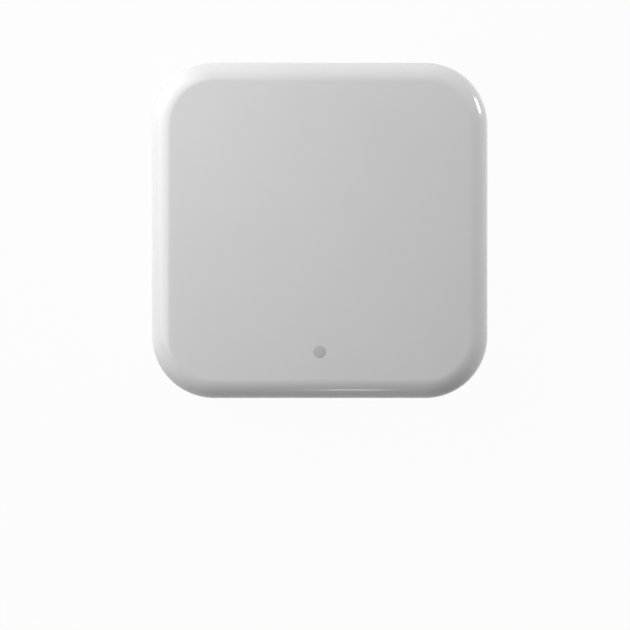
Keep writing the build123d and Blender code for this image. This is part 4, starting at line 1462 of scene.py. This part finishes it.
class GATEWAY_OT_power_socket(bpy.types.Operator):
    """Build the power socket: drawn shell, insulator with its tongue, and two rows of contacts"""

    bl_idname = "gateway.power_socket"
    bl_label = "Power socket"

    def execute(self, context):
        eased("power_socket_shell", CASE, "socket_steel", 0.09 * MM, 3)
        eased("power_socket_core", CASE, "socket_insulator", 0.04 * MM)
        eased("power_socket_contacts", CASE, "contact_gold", 0.02 * MM)
        return {"FINISHED"}


class GATEWAY_OT_reset_switch(bpy.types.Operator):
    """Build the switch behind the button: housing, clip-on frame, plunger and pins"""

    bl_idname = "gateway.reset_switch"
    bl_label = "Reset switch"

    def execute(self, context):
        eased("reset_switch_housing", CASE, "switch_plastic", 0.08 * MM)
        eased("reset_switch_frame", CASE, "shield_steel")
        eased("reset_switch_plunger", KEY, "switch_plastic", 0.08 * MM)
        eased("reset_switch_terminals", CASE, "lead_tin")
        return {"FINISHED"}


class GATEWAY_OT_indicator(bpy.types.Operator):
    """Build the lamp under the light pipe, with its lens, its leads and its foam ring"""

    bl_idname = "gateway.indicator"
    bl_label = "Indicator lamp"

    def execute(self, context):
        eased("light_seal", CASE, "seal_foam", 0.15 * MM)
        eased("indicator_led_body", CASE, "lamp_plastic")
        eased("indicator_led_lens", CASE, "lamp_resin", 0.02 * MM)
        eased("indicator_led_leads", CASE, "lead_tin", 0.03 * MM)
        return {"FINISHED"}


class GATEWAY_OT_main_board(bpy.types.Operator):
    """Build the main board, with its tracks and the plated holes round its edge"""

    bl_idname = "gateway.main_board"
    bl_label = "Main board"

    def execute(self, context):
        eased("main_board", CASE, "board_laminate", 0.03 * MM)

        # Plated holes: a line of them round the edge ties the ground layers together
        rim, dimple, proud, inset = 0.3 * MM, 0.15 * MM, 0.03 * MM, 1.9 * MM
        under, over = BOARD_UNDERSIDE - proud, BOARD_TOP + proud
        hole = turned(
            "hole",
            [
                (0, under + 2 * proud), (dimple, under), (rim, under), (rim, over),
                (dimple, over), (0, over - 2 * proud),
            ],
            steps=12,
        )
        holes = grow(
            "plated_holes", tree_for(stitch_tree), "lead_tin",
            Piece=hole, Side=BOARD_HIGH.x - BOARD_LOW.x - 2 * inset,
        )

        # Tracks, as the raised lines that copper makes under the resist
        whole = None
        for count, step, width, start, moves in TRACKS:
            step = Vector((*step, 0)) * MM
            place = Vector((*start, BOARD_TOP / MM)) * MM
            points = [place.copy()]
            for across, along in moves:
                place += Vector((across, along, 0)) * MM
                points.append(place.copy())
            path = make_object("path")
            path.data.from_pydata(points, [(spot, spot + 1) for spot in range(len(moves))], [])
            bundle = grow(
                "tracks", tree_for(track_tree), "board_laminate",
                Path=path, Count=count, Step=tuple(step), Width=width * MM,
            )
            bpy.data.objects.remove(path)
            whole = join(whole, bundle)
            if width < NARROW_TRACK:
                ends = grow(
                    "ends", tree_for(row_tree), "lead_tin",
                    Piece=hole, Count=count, Start=(place.x, place.y, 0.0), Step=tuple(step),
                )
                join(holes, ends)
        bpy.data.objects.remove(hole)
        dress(whole, CASE, "board_laminate")
        dress(holes, CASE, "lead_tin", crease=50)
        return {"FINISHED"}


class GATEWAY_OT_radios(bpy.types.Operator):
    """Build both radios: board, pressed shield, printed antenna and soldered edge pads"""

    bl_idname = "gateway.radios"
    bl_label = "Radios"

    def execute(self, context):
        joints, pad_side = None, 0.8 * MM
        for radio in ("network_radio", "short_range_radio"):
            eased(f"{radio}_board", CASE, "module_laminate", 0.03 * MM)
            eased(f"{radio}_shield", CASE, "shield_steel", 0.04 * MM)
            eased(f"{radio}_antenna", CASE, "antenna_copper", 0.02 * MM)
            low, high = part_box(f"{radio}_board")
            can_low, can_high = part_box(f"{radio}_shield")
            pads = int((can_high.x - can_low.x) / RADIO_PAD_PITCH)
            middle = (middle_of(can_low, can_high)[0], middle_of(low, high)[1], 0)

            # Solder that climbs the edge of each pad: radii, and shares of the board's thickness
            rise, width = high.z - low.z, high.y - low.y
            profile = [(0, low.z - 0.02 * MM)]
            for radius, share in ((0.55, 0.0), (0.42, 0.15), (0.34, 0.5), (0.32, 0.95), (0.0, 1.0)):
                profile.append((radius * MM, low.z + share * rise))
            joint = turned("joint", profile, steps=12)
            row = repeat("joints", joint, "lead_tin", pads, 2, (RADIO_PAD_PITCH, width), middle)
            joints = join(joints, row)
            pad, pitch = pad_of(pad_side, pad_side, high.z), (RADIO_PAD_PITCH, width - pad_side)
            joints = join(joints, repeat("pads", pad, "lead_tin", pads, 2, pitch, middle))
        dress(joints, CASE, "lead_tin", crease=50).name = "radio_joints"
        return {"FINISHED"}


class GATEWAY_OT_power_parts(bpy.types.Operator):
    """Build the capacitors, the regulator, the surge diode and the fuse"""

    bl_idname = "gateway.power_parts"
    bl_label = "Power parts"

    def execute(self, context):
        for side in ("left", "right"):
            eased(f"capacitor_base_{side}", CASE, "socket_insulator", 0.06 * MM)
            node = f"capacitor_can_{side}"
            low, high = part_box(node)
            radius = (high.x - low.x) / 2
            foot, crown = 0.2 * MM, 0.35 * MM
            groove, groove_low, groove_height, steps = 0.25 * MM, low.z + 0.95 * MM, 0.6 * MM, 8
            profile = [(0, low.z)] + bend(radius - foot, low.z + foot, foot, -90, 0, 4)
            for step in range(steps + 1):
                share = step / steps
                profile.append(
                    (radius - groove * sin(pi * share), groove_low + groove_height * share),
                )
            profile += bend(radius - crown, high.z - crown, crown, 0, 90)
            profile.append((0, high.z))
            can = turned(f"{node}_drawn", profile, middle_of(low, high))
            dress(can, CASE, "can_aluminium", node)
        eased("regulator_body", CASE, "moulded_epoxy", 0.06 * MM)
        eased("regulator_leads", CASE, "lead_tin", 0.04 * MM)
        eased("surge_diode_body", CASE, "moulded_epoxy", 0.06 * MM)
        eased("surge_diode_leads", CASE, "lead_tin", 0.04 * MM)
        eased("input_fuse", CASE, "fuse_body")
        return {"FINISHED"}


class GATEWAY_OT_chip_parts(bpy.types.Operator):
    """Build the chip capacitors and resistors, with tinned ends"""

    bl_idname = "gateway.chip_parts"
    bl_label = "Chip parts"

    def execute(self, context):
        # Nine chips in each group; the tin lies a little outside their ends
        ends = None
        length, width, cap, skin = 1.6 * MM, 0.8 * MM, 0.3 * MM, 0.015 * MM
        pad_width, pad_length, pad_reach = 0.8 * MM, 0.95 * MM, length + 0.1 * MM
        half = (cap / 2 + skin, width / 2 + skin)
        for node, slot in (
            ("chip_capacitors", "capacitor_ceramic"),
            ("chip_resistors", "resistor_ceramic"),
        ):
            eased(node, CASE, slot, 0.04 * MM)
            low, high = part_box(node)
            pitch = ((high.x - low.x - length) / 2, (high.y - low.y - width) / 2)
            end = box("end", (-half[0], -half[1], low.z), (*half, high.z + skin))
            soften(end, 0.05 * MM)
            pair = repeat("pair", end, "lead_tin", 2, 1, (length - cap, 0.0))
            pad = pad_of(pad_width, pad_length, BOARD_TOP)
            pads = repeat("pads", pad, "lead_tin", 2, 1, (pad_reach, 0.0))
            chips = repeat("ends", join(pair, pads), "lead_tin", 3, 3, pitch, middle_of(low, high))
            ends = join(ends, chips)

        # The fuse's two ends
        low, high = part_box("input_fuse")
        cap, skin = 0.7 * MM, 0.02 * MM
        end = box("end", (-cap / 2, low.y - skin, low.z), (cap / 2, high.y + skin, high.z + skin))
        soften(end, 0.12 * MM)
        reach = high.x - low.x - cap + 2 * skin
        ends = join(ends, repeat("ends", end, "lead_tin", 2, 1, (reach, 0.0)))
        dress(ends, CASE, "lead_tin").name = "chip_ends"
        return {"FINISHED"}


class GATEWAY_OT_solder(bpy.types.Operator):
    """Build the solder: pads under the leads, and cones round the pins on the underside"""

    bl_idname = "gateway.solder"
    bl_label = "Solder"

    def execute(self, context):
        joints = []

        # Pads under the leads. Each entry is a piece with its columns, rows, pitch and middle.
        low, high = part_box("power_socket_contacts")
        contact_foot = 0.6 * MM
        joints.append((
            pad_of(0.34 * MM, 1.6 * MM, BOARD_TOP),
            round((high.x - low.x) / CONTACT_PITCH), 1, (CONTACT_PITCH, 0.0),
            ((low.x + high.x) / 2, low.y + contact_foot, 0),
        ))
        low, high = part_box("regulator_leads")
        middle = (low.x + high.x) / 2
        lead_width, heel = 0.7 * MM, 0.2 * MM
        joints.append((
            pad_of(1.1 * MM, 1.3 * MM, BOARD_TOP),
            3, 1, ((high.x - low.x - lead_width) / 2, 0.0), (middle, low.y + heel, 0),
        ))
        joints.append((
            pad_of(3.6 * MM, 1.3 * MM, BOARD_TOP), 1, 1, (0.0, 0.0), (middle, high.y - heel, 0),
        ))
        inset = 0.3 * MM
        for node, width, length in (
            ("surge_diode_leads", 1.2 * MM, 1.8 * MM),
            ("input_fuse", 1.4 * MM, 3.6 * MM),
            ("capacitor_base_left", 1.6 * MM, 1.0 * MM),
            ("capacitor_base_right", 1.6 * MM, 1.0 * MM),
        ):
            low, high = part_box(node)
            joints.append((
                pad_of(width, length, BOARD_TOP),
                2, 1, (high.x - low.x - inset, 0.0), middle_of(low, high),
            ))
        low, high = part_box("indicator_led_leads")
        inset = 0.2 * MM
        joints.append((
            pad_of(2.0 * MM, 0.9 * MM, BOARD_TOP),
            1, 2, (0.0, high.y - low.y - inset), middle_of(low, high),
        ))

        # Cones round the legs of the socket, the wings of the switch's frame and its pins
        sheet, leg_pitch, leg_middle = 0.3 * MM, 3.2 * MM, 5.0 * MM
        joints.append((
            self.cone(), 2, 2, (SOCKET_HIGH.x - SOCKET_LOW.x - sheet, leg_pitch),
            (0, SOCKET_HIGH.y - leg_middle, 0),
        ))
        low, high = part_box("reset_switch_frame")
        wing = 0.7 * MM
        joints.append((
            self.cone(), 2, 1, (high.x - low.x - sheet, 0.0),
            ((low.x + high.x) / 2, high.y - wing, 0),
        ))
        low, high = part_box("reset_switch_terminals")
        pin = 0.7 * MM
        joints.append((self.cone(), 2, 1, (high.x - low.x - pin, 0.0), middle_of(low, high)))
        whole = None
        for piece, columns, rows, pitch, middle in joints:
            whole = join(whole, repeat("solder", piece, "lead_tin", columns, rows, pitch, middle))
        dress(whole, CASE, "lead_tin", crease=50).name = "solder_joints"
        return {"FINISHED"}

    def cone(self):
        """Solder drawn up a pin to a point under the board, from (radius, height) in mm."""
        points = (
            (0, -0.56), (0.2, -0.55), (0.3, -0.5), (0.36, -0.38), (0.45, -0.24), (0.6, -0.12),
            (0.85, -0.03), (0.85, 0.03), (0, 0.03),
        )
        profile = [(radius * MM, BOARD_UNDERSIDE + height * MM) for radius, height in points]
        return turned("cone", profile, steps=20)


class GATEWAY_OT_stage(bpy.types.Operator):
    """Set the floor, the sky, the lamps and the camera"""

    bl_idname = "gateway.stage"
    bl_label = "Stage"

    def execute(self, context):
        scene = context.scene
        stage = scene.gateway_stage
        scene.view_settings.view_transform = "Standard"

        # Pale floor, white to the camera and in reflections, that keeps a faint shadow
        reach, paper_white = 2, 0.65
        corners = [(-reach, -reach, 0), (reach, -reach, 0), (reach, reach, 0), (-reach, reach, 0)]
        floor = make_object("floor", corners, [(0, 1, 2, 3)])
        material = bpy.data.materials.new("Paper, matt white")
        material.use_nodes = True
        tree = material.node_tree
        tree.nodes.clear()
        seen = self.seen_directly(tree, stage.floor_glow)
        paper = add_node(
            tree, "ShaderNodeBsdfDiffuse", None, {"Color": tint("FFFFFF", paper_white)},
        )
        glow = add_node(
            tree, "ShaderNodeEmission", None, {"Color": tint("FFFFFF"), "Strength": 1.0},
        )
        mixed = add_node(tree, "ShaderNodeMixShader", None, {0: seen, 1: paper, 2: glow})
        add_node(tree, "ShaderNodeOutputMaterial", None, {"Surface": mixed})
        floor.data.materials.append(material)

        # Sky, white to the camera and in reflections, and soft on the object
        world = bpy.data.worlds.new("Soft box")
        world.use_nodes = True
        tree = world.node_tree
        tree.nodes.clear()
        seen = self.seen_directly(tree, 1.0)
        soft = add_node(tree, "ShaderNodeBackground", None, {"Strength": stage.sky})
        white = add_node(tree, "ShaderNodeBackground", None, {"Strength": 1.0})
        for background in (soft, white):
            background.inputs["Color"].default_value = tint("FFFFFF")
        mixed = add_node(tree, "ShaderNodeMixShader", None, {0: seen, 1: soft, 2: white})
        add_node(tree, "ShaderNodeOutputWorld", None, {"Surface": mixed})
        scene.world = world

        for name, place in LAMPS.items():
            self.lamp(name, getattr(stage, name), *place)
        self.camera(scene, stage.view_width)
        return {"FINISHED"}

    def seen_directly(self, tree, share):
        """A share of white for camera, glossy and transmission rays, and none for others."""
        path = add_node(tree, "ShaderNodeLightPath").outputs
        seen = add_node(
            tree, "ShaderNodeMath", {"operation": "MAXIMUM"},
            {0: path["Is Camera Ray"], 1: path["Is Glossy Ray"]},
        )
        seen = add_node(
            tree, "ShaderNodeMath", {"operation": "MAXIMUM"},
            {0: seen, 1: path["Is Transmission Ray"]},
        )
        return add_node(tree, "ShaderNodeMath", {"operation": "MULTIPLY"}, {0: seen, 1: share})

    def lamp(self, name, level, bearing, height, distance, width, length, aim):
        """A lamp at a bearing and height in degrees, which faces a point halfway up the case."""
        lamp = bpy.data.lights.new(name, "AREA")
        lamp.shape = "RECTANGLE"
        lamp.size, lamp.size_y = width, length
        lamp.energy = level * (pi * distance) ** 2
        holder = bpy.data.objects.new(name, lamp)
        bearing, height = radians(bearing), radians(height)
        towards = Vector((-cos(bearing) * cos(height), sin(bearing) * cos(height), sin(height)))
        holder.location = Vector((*aim, TOP / 2)) + distance * towards
        holder.rotation_euler = towards.to_track_quat("Z", "Y").to_euler()
        holder.visible_glossy = name not in UNSEEN_LAMPS
        holder.visible_diffuse = name not in GLINT_LAMPS
        bpy.context.scene.collection.objects.link(holder)

    def camera(self, scene, width):
        """A camera straight above, with the case in the upper half of its view."""
        case_x, case_y = CASE_IN_PHOTO
        lens = bpy.data.cameras.new("camera")
        lens.type = "ORTHO"
        lens.ortho_scale = width
        holder = bpy.data.objects.new("camera", lens)
        across = (PHOTO_MIDDLE - case_x) / PHOTO_SIZE * width
        up = (case_y - PHOTO_MIDDLE) / PHOTO_SIZE * width
        holder.location = (across, up, CAMERA_HEIGHT)
        scene.collection.objects.link(holder)
        scene.camera = holder


PIECES = (
    GATEWAY_OT_top_cover,
    GATEWAY_OT_base_plate,
    GATEWAY_OT_rubber_feet,
    GATEWAY_OT_light_pipe,
    GATEWAY_OT_reset_button,
    GATEWAY_OT_screws,
    GATEWAY_OT_power_socket,
    GATEWAY_OT_reset_switch,
    GATEWAY_OT_indicator,
    GATEWAY_OT_main_board,
    GATEWAY_OT_radios,
    GATEWAY_OT_power_parts,
    GATEWAY_OT_chip_parts,
    GATEWAY_OT_solder,
    GATEWAY_OT_stage,
)


class GATEWAY_PT_sidebar(bpy.types.Panel):
    """Sizes, colours and pieces of the gateway"""

    bl_label = "Smart home gateway"
    bl_idname = "GATEWAY_PT_sidebar"
    bl_space_type = "VIEW_3D"
    bl_region_type = "UI"
    bl_category = "Gateway"

    def draw(self, context):
        column = self.layout.column()
        scene = context.scene
        for group in (scene.gateway_case, scene.gateway_colours, scene.gateway_stage):
            for name in group.__annotations__:
                column.prop(group, name)
        for piece in PIECES:
            column.operator(piece.bl_idname)


GROUPS = {
    "gateway_case": GatewayCaseSizes,
    "gateway_colours": GatewayColours,
    "gateway_stage": GatewayStage,
}


def register():
    for name, group in GROUPS.items():
        bpy.utils.register_class(group)
        setattr(bpy.types.Scene, name, bpy.props.PointerProperty(type=group))
    for piece in (*PIECES, GATEWAY_PT_sidebar):
        bpy.utils.register_class(piece)


def unregister():
    for piece in (*PIECES, GATEWAY_PT_sidebar):
        bpy.utils.unregister_class(piece)
    for name, group in GROUPS.items():
        delattr(bpy.types.Scene, name)
        bpy.utils.unregister_class(group)


def main():
    register()
    for piece in PIECES:
        getattr(bpy.ops.gateway, piece.bl_idname.split(".")[1])()


if __name__ == "__main__":
    main()
